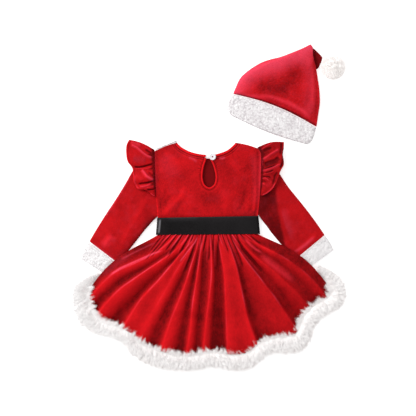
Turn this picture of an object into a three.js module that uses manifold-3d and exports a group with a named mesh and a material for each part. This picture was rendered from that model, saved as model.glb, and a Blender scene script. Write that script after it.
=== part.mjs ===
// Baby's winter party set: a long-sleeved velvet romper with a full gathered
// over-skirt, and a pointed hat with a bobble. Both lie flat on a surface with
// the back of the romper facing up. Millimetres, +Z up, +Y towards the neck.
//
// The romper is cut as bodice back and front, two sleeves with fleece cuffs, two
// gathered shoulder frills, a satin waist band, a skirt back and front with fur
// round the hem, and a plain brief below the waist seam. The hat is a crown of
// two panels with its tip turned over, a fleece band and a bobble.
//
// Sizes below are measured from the middle of the waist seam, which is (0, 0),
// with "across" to the right and "up" towards the neck. The whole group is then
// moved so that the origin is the middle of the footprint, on the surface.
import * as THREE from "three";
import Module from "manifold-3d";
import { mergeVertices } from "three/addons/utils/BufferGeometryUtils.js";

const wasm = await Module();
wasm.setup();

// ---------------------------------------------------------------- main sizes
const CLOTH = 1.8; // velvet, with its pile
const RIBBON = 1.2; // satin waist band
const FLEECE = 4.2; // cuff and hat band, with their pile
const SEAM = 0.3; // gap left at every seam
const WAIST_LEFT = -105,
  WAIST_RIGHT = 103.5,
  WAIST_UP = 5; // where skirt and bodice meet, under the waist band
const FRONT_LOW = 2.7; // underside of the front layers, above collar and frills
const BACK_LOW = 4.8; // underside of the bodice back at its side seams
const BODICE_LOFT = 3.3; // how far the back stands off the front in the middle
const BINDING = 5.5; // width of the neck binding
const KEY_BINDING = 4.2; // width of the keyhole binding
const BUTTON_R = 7.6,
  BUTTON_T = 3.2;
const FUR_MID = 12, // the front's fur trim lies below this, the back's above
  FUR_TOP = 26;
const BOBBLE_R = 28.5,
  BOBBLE_UP = 24;
const MIDDLE = { across: 0.5, up: 61.3 }; // middle of the footprint

// ------------------------------------------------------------------- tables
// Fur trim along the back hem: the seam point and the far reach of the fur.
const HEM = [
  { across: -264, down: 121, farAcross: -300, farDown: 130 },
  { across: -262, down: 143, farAcross: -297, farDown: 154 },
  { across: -254, down: 163, farAcross: -291, farDown: 178 },
  { across: -243, down: 183, farAcross: -280, farDown: 198 },
  { across: -225, down: 194, farAcross: -250, farDown: 217 },
  { across: -206, down: 199, farAcross: -221, farDown: 222 },
  { across: -178, down: 211, farAcross: -192, farDown: 233 },
  { across: -162, down: 225, farAcross: -177, farDown: 253 },
  { across: -151, down: 236, farAcross: -160, farDown: 268 },
  { across: -123, down: 248, farAcross: -135, farDown: 282 },
  { across: -96, down: 258, farAcross: -105, farDown: 291 },
  { across: -63, down: 265, farAcross: -67, farDown: 297 },
  { across: -30, down: 264, farAcross: -27, farDown: 295 },
  { across: -8, down: 258, farAcross: 1, farDown: 289 },
  { across: 14, down: 257, farAcross: 21, farDown: 290 },
  { across: 42, down: 262, farAcross: 47, farDown: 296 },
  { across: 69, down: 262, farAcross: 76, farDown: 296 },
  { across: 91, down: 255, farAcross: 105, farDown: 284 },
  { across: 104, down: 244, farAcross: 122, farDown: 268 },
  { across: 120, down: 233, farAcross: 137, farDown: 260 },
  { across: 141, down: 226, farAcross: 157, farDown: 259 },
  { across: 168, down: 222, farAcross: 186, farDown: 259 },
  { across: 187, down: 219, farAcross: 208, farDown: 250 },
  { across: 197, down: 207, farAcross: 222, farDown: 233 },
  { across: 202, down: 191, farAcross: 229, farDown: 211 },
  { across: 209, down: 178, farAcross: 238, farDown: 194 },
  { across: 223, down: 163, farAcross: 248, farDown: 182 },
  { across: 245, down: 145, farAcross: 268, farDown: 171 },
  { across: 263, down: 136, farAcross: 290, farDown: 158 },
  { across: 272, down: 122, farAcross: 301, farDown: 136 },
];

// At both corners the fur turns round and peeks out past the side edge: how far
// down that edge (0 at the waist, 1 at the hem corner), the far reach of the
// fur, and its height as a share of the full height.
const CORNER_LEFT = [
  { down: 0.87, farAcross: -242, farUp: -85.5, full: 0.35 },
  { down: 0.915, farAcross: -259, farUp: -91, full: 0.62 },
  { down: 0.96, farAcross: -280, farUp: -101, full: 0.88 },
  { down: 0.985, farAcross: -293, farUp: -114, full: 0.97 },
];
const CORNER_RIGHT = [
  { down: 0.985, farAcross: 299, farUp: -117, full: 0.97 },
  { down: 0.955, farAcross: 291, farUp: -97, full: 0.88 },
  { down: 0.9, farAcross: 270, farUp: -80, full: 0.62 },
  { down: 0.84, farAcross: 241, farUp: -68, full: 0.35 },
];

// The skirt's main folds. Where the crest lies, as a share of the way from the
// left side to the right, at the waist, one and two thirds down and at the hem;
// its spread to either side, also as a share; and how high it stands.
const FOLDS = [
  { waist: 0.22, third: 0.095, twoThirds: 0.04, hem: 0.03, left: 0.03, right: 0.035, rise: 7 },
  { waist: 0.33, third: 0.175, twoThirds: 0.105, hem: 0.088, left: 0.024, right: 0.04, rise: 9 },
  { waist: 0.4, third: 0.25, twoThirds: 0.205, hem: 0.19, left: 0.02, right: 0.05, rise: 11 },
  { waist: 0.42, third: 0.31, twoThirds: 0.285, hem: 0.255, left: 0.04, right: 0.034, rise: 9 },
  { waist: 0.42, third: 0.38, twoThirds: 0.35, hem: 0.34, left: 0.02, right: 0.045, rise: 11 },
  { waist: 0.44, third: 0.43, twoThirds: 0.425, hem: 0.42, left: 0.024, right: 0.024, rise: 8 },
  { waist: 0.565, third: 0.53, twoThirds: 0.495, hem: 0.478, left: 0.026, right: 0.022, rise: 10 },
  { waist: 0.605, third: 0.598, twoThirds: 0.575, hem: 0.563, left: 0.02, right: 0.06, rise: 11 },
  { waist: 0.7, third: 0.69, twoThirds: 0.668, hem: 0.675, left: 0.06, right: 0.02, rise: 11 },
  { waist: 0.66, third: 0.765, twoThirds: 0.8, hem: 0.82, left: 0.08, right: 0.02, rise: 12 },
  { waist: 0.7, third: 0.84, twoThirds: 0.885, hem: 0.905, left: 0.036, right: 0.034, rise: 7 },
  { waist: 0.85, third: 0.94, twoThirds: 0.963, hem: 0.975, left: 0.03, right: 0.018, rise: 6 },
];

// Neck edge of the back, left to right, and of the front, which lies lower.
const NECK = [
  { across: -69.3, up: 203.5, frontUp: 203.5 },
  { across: -62.7, up: 195.8, frontUp: 191.4 },
  { across: -46.2, up: 185.9, frontUp: 179.3 },
  { across: -29.7, up: 180.4, frontUp: 172.7 },
  { across: -9.9, up: 177.1, frontUp: 169.0 },
  { across: 9.9, up: 177.0, frontUp: 169.0 },
  { across: 25.3, up: 180.4, frontUp: 172.7 },
  { across: 41.8, up: 187.0, frontUp: 180.5 },
  { across: 56.1, up: 199.1, frontUp: 193.6 },
  { across: 59.4, up: 203.5, frontUp: 203.5 },
];

// Side edges of the bodice, from the shoulder point to the waist seam.
const SIDES = [
  { leftAcross: -118.4, leftUp: 184.6, rightAcross: 112.4, rightUp: 189.4 },
  { leftAcross: -118.2, leftUp: 166, rightAcross: 115.4, rightUp: 178 },
  { leftAcross: -117.6, leftUp: 143, rightAcross: 115.2, rightUp: 146 },
  { leftAcross: -115.2, leftUp: 92, rightAcross: 113.0, rightUp: 92 },
  { leftAcross: -111.1, leftUp: 40, rightAcross: 108.4, rightUp: 43 },
  { leftAcross: -107.5, leftUp: 5.3, rightAcross: 105.5, rightUp: 5.3 },
];

// The keyhole's opening, from the neck edge round and back to it.
const KEYHOLE = [
  { across: -4.6, up: 169.9 },
  { across: -6.2, up: 163.0 },
  { across: -10.0, up: 151.5 },
  { across: -12.4, up: 138.0 },
  { across: -12.8, up: 125.5 },
  { across: -8.6, up: 111.5 },
  { across: 1.8, up: 104.9 },
  { across: 12.0, up: 111.5 },
  { across: 15.4, up: 124.5 },
  { across: 14.3, up: 137.0 },
  { across: 10.4, up: 151.5 },
  { across: 6.2, up: 161.5 },
  { across: 2.8, up: 168.8 },
];

// Sleeves, from the armhole to the cuff seam: outer and inner fold, the height
// of the under layer, of the two edges and of the middle, and how far the
// armhole seam bulges to the right.
const SLEEVE_LEFT = [
  { outAcross: -119.4, outUp: 184.5, inAcross: -111.8, inUp: 40.5, low: 2.7, edge: 6.9, crown: 6.9, bulge: -1.5 },
  { outAcross: -136, outUp: 175, inAcross: -121, inUp: 32.5, low: 2.7, edge: 7.5, crown: 8.8, bulge: -0.7 },
  { outAcross: -152, outUp: 160, inAcross: -131, inUp: 21.5, low: 2.6, edge: 7.6, crown: 9.6 },
  { outAcross: -168, outUp: 140, inAcross: -141, inUp: 10, low: 2.2, edge: 7.4, crown: 9.3 },
  { outAcross: -184, outUp: 112, inAcross: -152, inUp: -4, low: 0.8, edge: 6.8, crown: 8.2 },
  { outAcross: -205, outUp: 78, inAcross: -163, inUp: -18, low: 0, edge: 6.2, crown: 7.5 },
  { outAcross: -225, outUp: 48, inAcross: -175, inUp: -33, low: 0, edge: 6.2, crown: 7.5 },
  { outAcross: -244, outUp: 18, inAcross: -187, inUp: -49, low: 0, edge: 6.2, crown: 7.5 },
  { outAcross: -262.9, outUp: -14, inAcross: -198.4, inUp: -63, low: 0, edge: 6.2, crown: 7.5 },
];
const SLEEVE_RIGHT = [
  { outAcross: 116.1, outUp: 188, inAcross: 109.4, inUp: 44.6, low: 2.7, edge: 6.9, crown: 6.9, bulge: 2.5 },
  { outAcross: 131, outUp: 173, inAcross: 118.6, inUp: 32, low: 2.7, edge: 7.5, crown: 8.8, bulge: 1.2 },
  { outAcross: 145, outUp: 155, inAcross: 128.5, inUp: 19.5, low: 2.6, edge: 7.6, crown: 9.6 },
  { outAcross: 159, outUp: 132, inAcross: 138, inUp: 6, low: 2.2, edge: 7.4, crown: 9.3 },
  { outAcross: 176, outUp: 106, inAcross: 147.5, inUp: -5.5, low: 0.8, edge: 6.8, crown: 8.2 },
  { outAcross: 197, outUp: 80, inAcross: 158, inUp: -18, low: 0, edge: 6.2, crown: 7.5 },
  { outAcross: 217, outUp: 55, inAcross: 168, inUp: -30, low: 0, edge: 6.2, crown: 7.5 },
  { outAcross: 237, outUp: 28, inAcross: 179, inUp: -43, low: 0, edge: 6.2, crown: 7.5 },
  { outAcross: 256.3, outUp: 0, inAcross: 189.4, inUp: -55.5, low: 0, edge: 6.2, crown: 7.5 },
];
const CUFF_LEFT = [
  { outAcross: -264.9, outUp: -16.4, inAcross: -199.3, inUp: -66.2, low: 0, edge: 9.6, crown: 10.8 },
  { outAcross: -274.5, outUp: -33, inAcross: -208, inUp: -79.5, low: 0, edge: 9.6, crown: 10.8 },
  { outAcross: -283.8, outUp: -50.6, inAcross: -217, inUp: -93.5, low: 0, edge: 9.6, crown: 10.8 },
];
const CUFF_RIGHT = [
  { outAcross: 258.6, outUp: -3, inAcross: 190.6, inUp: -59.2, low: 0, edge: 9.6, crown: 10.8 },
  { outAcross: 267.5, outUp: -17.5, inAcross: 199, inUp: -71, low: 0, edge: 9.6, crown: 10.8 },
  { outAcross: 276.1, outUp: -33, inAcross: 207.5, inUp: -82.5, low: 0, edge: 9.6, crown: 10.8 },
];

// Shoulder frills, from the shoulder point down the armhole seam: the seam, the
// free edge, how the cloth waves between them and how its top edge bows up.
const FRILL_LEFT = [
  { seamAcross: -119.0, seamUp: 187.5, freeAcross: -174.4, freeUp: 209.4, wave: 10, bow: 4 },
  { seamAcross: -119.2, seamUp: 176, freeAcross: -180.5, freeUp: 197, wave: 2, bow: 1.5 },
  { seamAcross: -119.0, seamUp: 165, freeAcross: -181, freeUp: 178, wave: 1 },
  { seamAcross: -118.7, seamUp: 155, freeAcross: -177.5, freeUp: 161.5, wave: 9 },
  { seamAcross: -118.4, seamUp: 145, freeAcross: -168, freeUp: 148, wave: 1 },
  { seamAcross: -118.0, seamUp: 136, freeAcross: -166, freeUp: 134, wave: 4 },
  { seamAcross: -117.6, seamUp: 127, freeAcross: -165.5, freeUp: 120, wave: 9 },
  { seamAcross: -117.1, seamUp: 117, freeAcross: -161, freeUp: 108, wave: 2 },
  { seamAcross: -116.6, seamUp: 107, freeAcross: -153.5, freeUp: 100.4, wave: 6 },
  { seamAcross: -116.1, seamUp: 97, freeAcross: -138, freeUp: 98.5, wave: 3 },
  { seamAcross: -115.4, seamUp: 83.5, freeAcross: -123, freeUp: 87, wave: 1 },
];
const FRILL_RIGHT = [
  { seamAcross: 107.5, seamUp: 192.5, freeAcross: 166, freeUp: 204.2, wave: 10, bow: 5.5 },
  { seamAcross: 114.5, seamUp: 182, freeAcross: 165.5, freeUp: 191, wave: 3, bow: 3 },
  { seamAcross: 116.0, seamUp: 170, freeAcross: 163.5, freeUp: 177, wave: 2, bow: 1 },
  { seamAcross: 116.6, seamUp: 160, freeAcross: 165.5, freeUp: 163, wave: 8 },
  { seamAcross: 116.6, seamUp: 150, freeAcross: 165, freeUp: 153, wave: 3 },
  { seamAcross: 116.5, seamUp: 141, freeAcross: 158.5, freeUp: 141, wave: 7 },
  { seamAcross: 116.2, seamUp: 131, freeAcross: 153.5, freeUp: 127, wave: 2 },
  { seamAcross: 115.8, seamUp: 121, freeAcross: 149, freeUp: 115, wave: 6 },
  { seamAcross: 115.3, seamUp: 110, freeAcross: 142, freeUp: 102, wave: 2 },
  { seamAcross: 114.7, seamUp: 99, freeAcross: 132, freeUp: 93.5, wave: 4 },
  { seamAcross: 114, seamUp: 88, freeAcross: 118.5, freeUp: 86, wave: 1 },
];

// Hat crown, from the band to the point where the tip turns over.
const CROWN = [
  { leftAcross: 54.5, leftUp: 311.5, rightAcross: 238.3, rightUp: 238.6, crown: 1.6 },
  { leftAcross: 58.5, leftUp: 321.5, rightAcross: 241, rightUp: 256, crown: 2.4 },
  { leftAcross: 68.4, leftUp: 343.2, rightAcross: 244, rightUp: 276, crown: 3.0 },
  { leftAcross: 80.3, leftUp: 356.4, rightAcross: 246, rightUp: 293, crown: 3.2 },
  { leftAcross: 98, leftUp: 369.6, rightAcross: 245.5, rightUp: 311, crown: 3.2 },
  { leftAcross: 117, leftUp: 380.6, rightAcross: 244, rightUp: 328, crown: 3.2 },
  { leftAcross: 137, leftUp: 387.5, rightAcross: 241.5, rightUp: 345, crown: 3.2 },
  { leftAcross: 160, leftUp: 393, rightAcross: 238.5, rightUp: 361.5, crown: 3.0 },
  { leftAcross: 185, leftUp: 402, rightAcross: 234.5, rightUp: 377, crown: 2.6 },
  { leftAcross: 206, leftUp: 410.6, rightAcross: 230.5, rightUp: 393, crown: 1.8 },
  { leftAcross: 224.6, leftUp: 419.8, rightAcross: 229.6, rightUp: 413.5, crown: 0.8 },
];
const HAT_BAND = [
  { outAcross: 53.2, outUp: 309.6, inAcross: 237.6, inUp: 236.4, low: 0, edge: 10.2, crown: 11.7, bulge: 9.5 },
  { outAcross: 46, outUp: 298, inAcross: 234, inUp: 223.5, low: 0, edge: 10.4, crown: 12.2, bulge: 5 },
  { outAcross: 41.2, outUp: 285, inAcross: 230, inUp: 212, low: 0, edge: 10.4, crown: 12.2, bulge: 0.5 },
  { outAcross: 42, outUp: 274, inAcross: 225.5, inUp: 204.8, low: 0, edge: 10.4, crown: 12, bulge: -3 },
  { outAcross: 50, outUp: 264, inAcross: 217.5, inUp: 200.2, low: 0, edge: 9.6, crown: 11.2, bulge: -5.5 },
];
// The turned-over tip, from the fold to the bobble.
const HAT_TIP = [
  { outAcross: 224, outUp: 417.5, inAcross: 238, inUp: 365, low: 0.3, edge: 4.9, crown: 5.3 },
  { outAcross: 234.5, outUp: 409.5, inAcross: 241, inUp: 367, low: 0.6, edge: 6, crown: 6.8 },
  { outAcross: 244.5, outUp: 399.5, inAcross: 244.5, inUp: 371.5, low: 2.5, edge: 9, crown: 9.8 },
  { outAcross: 250.8, outUp: 391.5, inAcross: 248, inUp: 378, low: 5, edge: 11, crown: 11.8 },
];

// ------------------------------------------------------------------ helpers
const mix = (a, b, t) => a + (b - a) * t;
const clamp01 = (t) => Math.min(1, Math.max(0, t));
const ease = (t) => {
  const c = clamp01(t);
  return c * c * (3 - 2 * c);
};

// Catmull-Rom through one column of a table, at t from 0 to 1 over its rows.
function column(rows, key, t) {
  const f = clamp01(t) * (rows.length - 1);
  const i = Math.min(Math.floor(f), rows.length - 2),
    s = f - i;
  const at = (k) => rows[Math.min(rows.length - 1, Math.max(0, k))][key] || 0;
  const a = at(i - 1),
    b = at(i),
    c = at(i + 1),
    d = at(i + 2);
  return (
    b +
    0.5 * s * (c - a + s * (2 * a - 5 * b + 4 * c - d + s * (3 * (b - c) + d - a)))
  );
}

// The same curve as points spaced evenly along its length.
function evenCurve(rows, keyX, keyY, signY = 1) {
  const fine = [];
  for (let i = 0; i <= 600; i++)
    fine.push([column(rows, keyX, i / 600), signY * column(rows, keyY, i / 600)]);
  const along = [0];
  for (let i = 1; i < fine.length; i++)
    along.push(
      along[i - 1] +
        Math.hypot(fine[i][0] - fine[i - 1][0], fine[i][1] - fine[i - 1][1]),
    );
  return (t) => {
    const want = clamp01(t) * along[along.length - 1];
    let i = 1;
    while (i < along.length - 1 && along[i] < want) i++;
    const s = (want - along[i - 1]) / Math.max(1e-9, along[i] - along[i - 1]);
    return [
      mix(fine[i - 1][0], fine[i][0], s),
      mix(fine[i - 1][1], fine[i][1], s),
      (i - 1 + s) / 600, // its place in the table
    ];
  };
}

// A closed indexed geometry, turned so that its faces point out.
function closed(points, faces) {
  const pos = new Float32Array(points.flat());
  let volume = 0;
  for (const [a, b, c] of faces) {
    const A = points[a],
      B = points[b],
      C = points[c];
    volume +=
      A[0] * (B[1] * C[2] - B[2] * C[1]) -
      A[1] * (B[0] * C[2] - B[2] * C[0]) +
      A[2] * (B[0] * C[1] - B[1] * C[0]);
  }
  const index = volume < 0 ? faces.map(([a, b, c]) => [a, c, b]) : faces;
  const g = new THREE.BufferGeometry();
  g.setAttribute("position", new THREE.BufferAttribute(pos, 3));
  g.setIndex(index.flat());
  return g;
}

// A sheet of cloth: at(u, v) gives [across, up], low(u, v) the height of its
// underside and thick its thickness.
function sheet(nu, nv, at, low, thick) {
  const points = [],
    faces = [],
    id = (k, i, j) => k * (nu + 1) * (nv + 1) + j * (nu + 1) + i;
  for (const k of [0, 1])
    for (let j = 0; j <= nv; j++)
      for (let i = 0; i <= nu; i++) {
        const u = i / nu,
          v = j / nv,
          [x, y] = at(u, v);
        const t = typeof thick === "function" ? thick(u, v) : thick;
        points.push([x, y, low(u, v, x, y) + k * t]);
      }
  for (let j = 0; j < nv; j++)
    for (let i = 0; i < nu; i++) {
      const q = [id(0, i, j), id(0, i + 1, j), id(0, i + 1, j + 1), id(0, i, j + 1)];
      const p = [id(1, i, j), id(1, i + 1, j), id(1, i + 1, j + 1), id(1, i, j + 1)];
      faces.push([q[0], q[2], q[1]], [q[0], q[3], q[2]]);
      faces.push([p[0], p[1], p[2]], [p[0], p[2], p[3]]);
    }
  const rim = [];
  for (let i = 0; i < nu; i++) rim.push([i, 0]);
  for (let j = 0; j < nv; j++) rim.push([nu, j]);
  for (let i = nu; i > 0; i--) rim.push([i, nv]);
  for (let j = nv; j > 0; j--) rim.push([0, j]);
  rim.forEach(([i, j], n) => {
    const [i2, j2] = rim[(n + 1) % rim.length];
    const a = id(0, i, j),
      b = id(0, i2, j2),
      c = id(1, i2, j2),
      d = id(1, i, j);
    faces.push([a, b, c], [a, c, d]);
  });
  return closed(points, faces);
}

// Rings joined into a closed solid with flat ends.
function solidRings(rings) {
  const points = rings.flat(),
    n = rings[0].length,
    faces = [];
  for (let k = 0; k + 1 < rings.length; k++)
    for (let j = 0; j < n; j++) {
      const a = k * n + j,
        b = k * n + ((j + 1) % n);
      faces.push([a, b, b + n], [a, b + n, a + n]);
    }
  const last = (rings.length - 1) * n;
  for (let j = 1; j + 1 < n; j++) {
    faces.push([0, j + 1, j]);
    faces.push([last, last + j, last + j + 1]);
  }
  return closed(points, faces);
}

// A wall that goes right round: outer and inner rings joined, open at both ends.
function wallRings(outer, inner) {
  const n = outer[0].length,
    m = outer.length,
    faces = [];
  const O = (k, j) => k * n + (j % n),
    I = (k, j) => m * n + k * n + (j % n);
  for (let k = 0; k + 1 < m; k++)
    for (let j = 0; j < n; j++) {
      faces.push([O(k, j), O(k, j + 1), O(k + 1, j + 1)]);
      faces.push([O(k, j), O(k + 1, j + 1), O(k + 1, j)]);
      faces.push([I(k, j), I(k + 1, j + 1), I(k, j + 1)]);
      faces.push([I(k, j), I(k + 1, j), I(k + 1, j + 1)]);
    }
  for (let j = 0; j < n; j++) {
    faces.push([O(0, j), I(0, j + 1), O(0, j + 1)]);
    faces.push([O(0, j), I(0, j), I(0, j + 1)]);
    faces.push([O(m - 1, j), O(m - 1, j + 1), I(m - 1, j + 1)]);
    faces.push([O(m - 1, j), I(m - 1, j + 1), I(m - 1, j)]);
  }
  return closed([...outer.flat(), ...inner.flat()], faces);
}

// One ring of a tube that lies flat between two folds: level below, round at
// the folds, and above rising from them to the middle.
const FOLD = [
  { over: 0.16, up: 0.14 },
  { over: 0, up: 0.5 },
  { over: 0.18, up: 0.87 },
];
function flatRing(row, inset, across) {
  const ax = row.outAcross,
    ay = row.outUp,
    bx = row.inAcross,
    by = row.inUp;
  const long = Math.hypot(bx - ax, by - ay),
    dx = (bx - ax) / long,
    dy = (by - ay) / long;
  const low = row.low + inset,
    edge = row.edge - inset,
    crown = row.crown - inset;
  const round = Math.min(3.4, (row.edge - row.low) / 2),
    start = round + 0.35 * inset;
  const place = (s, z) => {
    const b = (row.bulge || 0) * Math.sin((Math.PI * s) / long);
    return [ax + dx * s - dy * b, ay + dy * s + dx * b, z];
  };
  const ring = [];
  for (let i = 0; i <= across; i++)
    ring.push(place(mix(start, long - start, i / across), low));
  for (const { over, up } of FOLD)
    ring.push(place(long - inset - over * round, mix(low, edge, up)));
  for (let i = 0; i <= across; i++) {
    const s = 1 - i / across;
    ring.push(
      place(mix(start, long - start, s), mix(edge, crown, Math.sin(Math.PI * s) ** 0.7)),
    );
  }
  for (const { over, up } of [...FOLD].reverse())
    ring.push(place(inset + over * round, mix(low, edge, up)));
  return ring;
}

function flatTube(rows, wall, rings, across) {
  const outer = [],
    inner = [];
  for (let k = 0; k < rings; k++) {
    const t = k / (rings - 1),
      row = {};
    for (const key of Object.keys(rows[0])) row[key] = column(rows, key, t);
    outer.push(flatRing(row, 0, across));
    inner.push(flatRing(row, wall, across));
  }
  return wallRings(outer, inner);
}

// Fur trim: a soft roll between the seam and its far reach, flat underneath.
const ROLL = [
  { over: 0.14, up: 0 },
  { over: 0.86, up: 0 },
  { over: 0.975, up: 0.14 },
  { over: 1, up: 0.38 },
  { over: 0.965, up: 0.64 },
  { over: 0.86, up: 0.85 },
  { over: 0.68, up: 0.97 },
  { over: 0.5, up: 1 },
  { over: 0.32, up: 0.97 },
  { over: 0.14, up: 0.85 },
  { over: 0.035, up: 0.64 },
  { over: 0, up: 0.38 },
  { over: 0.025, up: 0.14 },
];
function furRoll(places) {
  return solidRings(
    places.map(({ x, y, farX, farY, low, high }) => {
      const start = SEAM / Math.hypot(farX - x, farY - y);
      return ROLL.map(({ over, up }) => {
        const s = mix(start, 1, over);
        return [mix(x, farX, s), mix(y, farY, s), mix(low, high, up)];
      });
    }),
  );
}

// Geometry to manifold and back, for the cut-outs.
function toSolid(geometry) {
  const g = geometry.clone();
  g.deleteAttribute("normal");
  g.deleteAttribute("uv");
  const m = mergeVertices(g, 1e-4);
  return new wasm.Manifold(
    new wasm.Mesh({
      numProp: 3,
      vertProperties: new Float32Array(m.attributes.position.array),
      triVerts: new Uint32Array(m.index.array),
    }),
  );
}
function fromSolid(solid) {
  const mesh = solid.getMesh(),
    n = mesh.numProp;
  const v = new Float32Array(mesh.numVert * 3);
  for (let i = 0; i < mesh.numVert; i++)
    v.set(mesh.vertProperties.subarray(i * n, i * n + 3), i * 3);
  const g = new THREE.BufferGeometry();
  g.setAttribute("position", new THREE.BufferAttribute(v, 3));
  g.setIndex(Array.from(mesh.triVerts));
  return g;
}

// An open curve moved sideways by a distance, left of its direction.
function moved(points, by) {
  return points.map((p, i) => {
    const a = points[Math.max(0, i - 1)],
      b = points[Math.min(points.length - 1, i + 1)];
    const long = Math.hypot(b[0] - a[0], b[1] - a[1]);
    return [p[0] - ((b[1] - a[1]) / long) * by, p[1] + ((b[0] - a[0]) / long) * by];
  });
}
const along = (curve, n) => Array.from({ length: n + 1 }, (_, i) => curve(i / n));

// A strip of binding between two curves with the same number of points.
function strip(inner, outer, low, thick) {
  const n = inner.length - 1;
  return sheet(
    n,
    1,
    (u, v) => {
      const i = Math.round(u * n);
      return [mix(inner[i][0], outer[i][0], v), mix(inner[i][1], outer[i][1], v)];
    },
    (u, v, x, y) => low(x, y),
    thick,
  );
}

// --------------------------------------------------------------- the bodice
const neckBack = evenCurve(NECK, "across", "up");
const neckFront = evenCurve(NECK, "across", "frontUp");
// Underside of the bodice back over its whole area.
function backLow(x, y) {
  const side = clamp01((113 - Math.abs(x)) / 113);
  const top = clamp01((205 - y) / 60);
  const waist = mix(0.35, 1, ease((y - 8) / 60));
  return (
    BACK_LOW +
    BODICE_LOFT * Math.sin((Math.PI / 2) * side) ** 0.8 * mix(0.5, 1, ease(top)) * waist
  );
}

// A bodice panel: shoulder, neck and shoulder above, the waist seam below and the
// side edges between them.
function bodiceAt(neck) {
  const top = (u) => {
    const a = 0.24,
      b = 0.78,
      first = SIDES[0];
    if (u < a) {
      const s = u / a,
        p = neck(0);
      return [
        mix(first.leftAcross, p[0], s),
        mix(first.leftUp, p[1], s) + 2.2 * Math.sin(Math.PI * s),
      ];
    }
    if (u > b) {
      const s = (u - b) / (1 - b),
        p = neck(1);
      return [
        mix(p[0], first.rightAcross, s),
        mix(p[1], first.rightUp, s) + 2 * Math.sin(Math.PI * s),
      ];
    }
    return neck((u - a) / (b - a));
  };
  const side = (key, v) => [column(SIDES, key + "Across", v), column(SIDES, key + "Up", v)];
  return (u, v) => {
    const t = top(u),
      l = side("left", v),
      r = side("right", v),
      ends = [side("left", 0), side("right", 0), side("left", 1), side("right", 1)];
    return [0, 1].map(
      (k) =>
        (1 - v) * t[k] +
        v * mix(ends[2][k], ends[3][k], u) +
        mix(l[k], r[k], u) -
        mix(mix(ends[0][k], ends[1][k], u), mix(ends[2][k], ends[3][k], u), v),
    );
  };
}
// The room that the neck binding takes off a bodice panel.
function bindingRoom(neck) {
  const line = along(neck, 40);
  const ends = [line[0], line[line.length - 1]];
  line.unshift([ends[0][0] - 3, ends[0][1] + 6]);
  line.push([ends[1][0] + 3, ends[1][1] + 6]);
  return prism([...moved(line, 8), ...moved(line, -(BINDING + SEAM)).reverse()], -5, 40);
}
const keyInner = along(evenCurve(KEYHOLE, "across", "up"), 36);
const keyOuter = moved(keyInner, -KEY_BINDING);
const keyCut = moved(keyInner, -(KEY_BINDING + SEAM));
function prism(outline, low, high) {
  const shape = new THREE.Shape(outline.map(([x, y]) => new THREE.Vector2(x, y)));
  const g = new THREE.ExtrudeGeometry(shape, {
    depth: high - low,
    bevelEnabled: false,
    steps: 1,
  });
  g.translate(0, 0, low);
  return g;
}
const keyPrism = prism(
  [[keyCut[0][0], 190], ...keyCut, [keyCut[keyCut.length - 1][0], 190]],
  -5,
  40,
);
const bodiceBack = fromSolid(
  toSolid(
    sheet(22, 8, bodiceAt(neckBack), (u, v, x, y) => backLow(x, y), CLOTH),
  )
    .subtract(toSolid(keyPrism))
    .subtract(toSolid(bindingRoom(neckBack))),
);
const bodiceFront = fromSolid(
  toSolid(sheet(14, 4, bodiceAt(neckFront), () => FRONT_LOW, CLOTH)).subtract(
    toSolid(bindingRoom(neckFront)),
  ),
);

// Neck binding: back left, back right (they stop at the keyhole) and front.
function neckBinding(neck, from, to, n, low, thick) {
  const line = Array.from({ length: n + 1 }, (_, i) => neck(mix(from, to, i / n)));
  const inner = moved(line, 0),
    outer = moved(line, -BINDING);
  return strip(inner, outer, low, thick);
}
const shareAt = (curve, x) => {
  let a = 0,
    b = 1;
  for (let i = 0; i < 40; i++) {
    const m = (a + b) / 2;
    if (curve(m)[0] < x) a = m;
    else b = m;
  }
  return a;
};
const bindingLow = (x, y) => backLow(x, y) - 0.1;
const neckBackLeft = neckBinding(neckBack, 0.015, shareAt(neckBack, -4.8), 14, bindingLow, 2.4);
const neckBackRight = neckBinding(neckBack, shareAt(neckBack, 1.8), 0.985, 14, bindingLow, 2.4);
const neckFrontStrip = neckBinding(neckFront, 0.05, 0.95, 18, () => 2.6, 2);
const keyBinding = strip(keyInner, keyOuter, bindingLow, 2.5);

// Button with a shank, a rim and four holes. The thread loop comes out of the
// left end of the neck, goes round the shank and back, and holds the neck shut.
const buttonAt = { across: 8.8, up: 172.4 };
const bindingTop = backLow(0, 174) + 2.3;
const SHANK = 2.1,
  CORD_R = 0.7;
function makeButton() {
  const g = new THREE.LatheGeometry(
    [
      [0, 0],
      [1.4, 0],
      [1.4, SHANK],
      [BUTTON_R - 1, SHANK],
      [BUTTON_R, SHANK + 0.9],
      [BUTTON_R, SHANK + BUTTON_T - 0.9],
      [BUTTON_R - 0.8, SHANK + BUTTON_T],
      [BUTTON_R - 1.9, SHANK + BUTTON_T],
      [BUTTON_R - 2.5, SHANK + BUTTON_T - 0.8],
      [0, SHANK + BUTTON_T - 0.8],
    ].map(([x, y]) => new THREE.Vector2(x, y)),
    28,
  );
  g.rotateX(Math.PI / 2);
  let body = toSolid(g);
  for (const [x, y] of [
    [1.5, 1.5],
    [-1.5, 1.5],
    [-1.5, -1.5],
    [1.5, -1.5],
  ]) {
    const hole = new THREE.CylinderGeometry(0.8, 0.8, 2, 10);
    hole.rotateX(Math.PI / 2);
    hole.translate(x, y, SHANK + BUTTON_T - 0.6);
    body = body.subtract(toSolid(hole));
  }
  return fromSolid(body);
}
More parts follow.
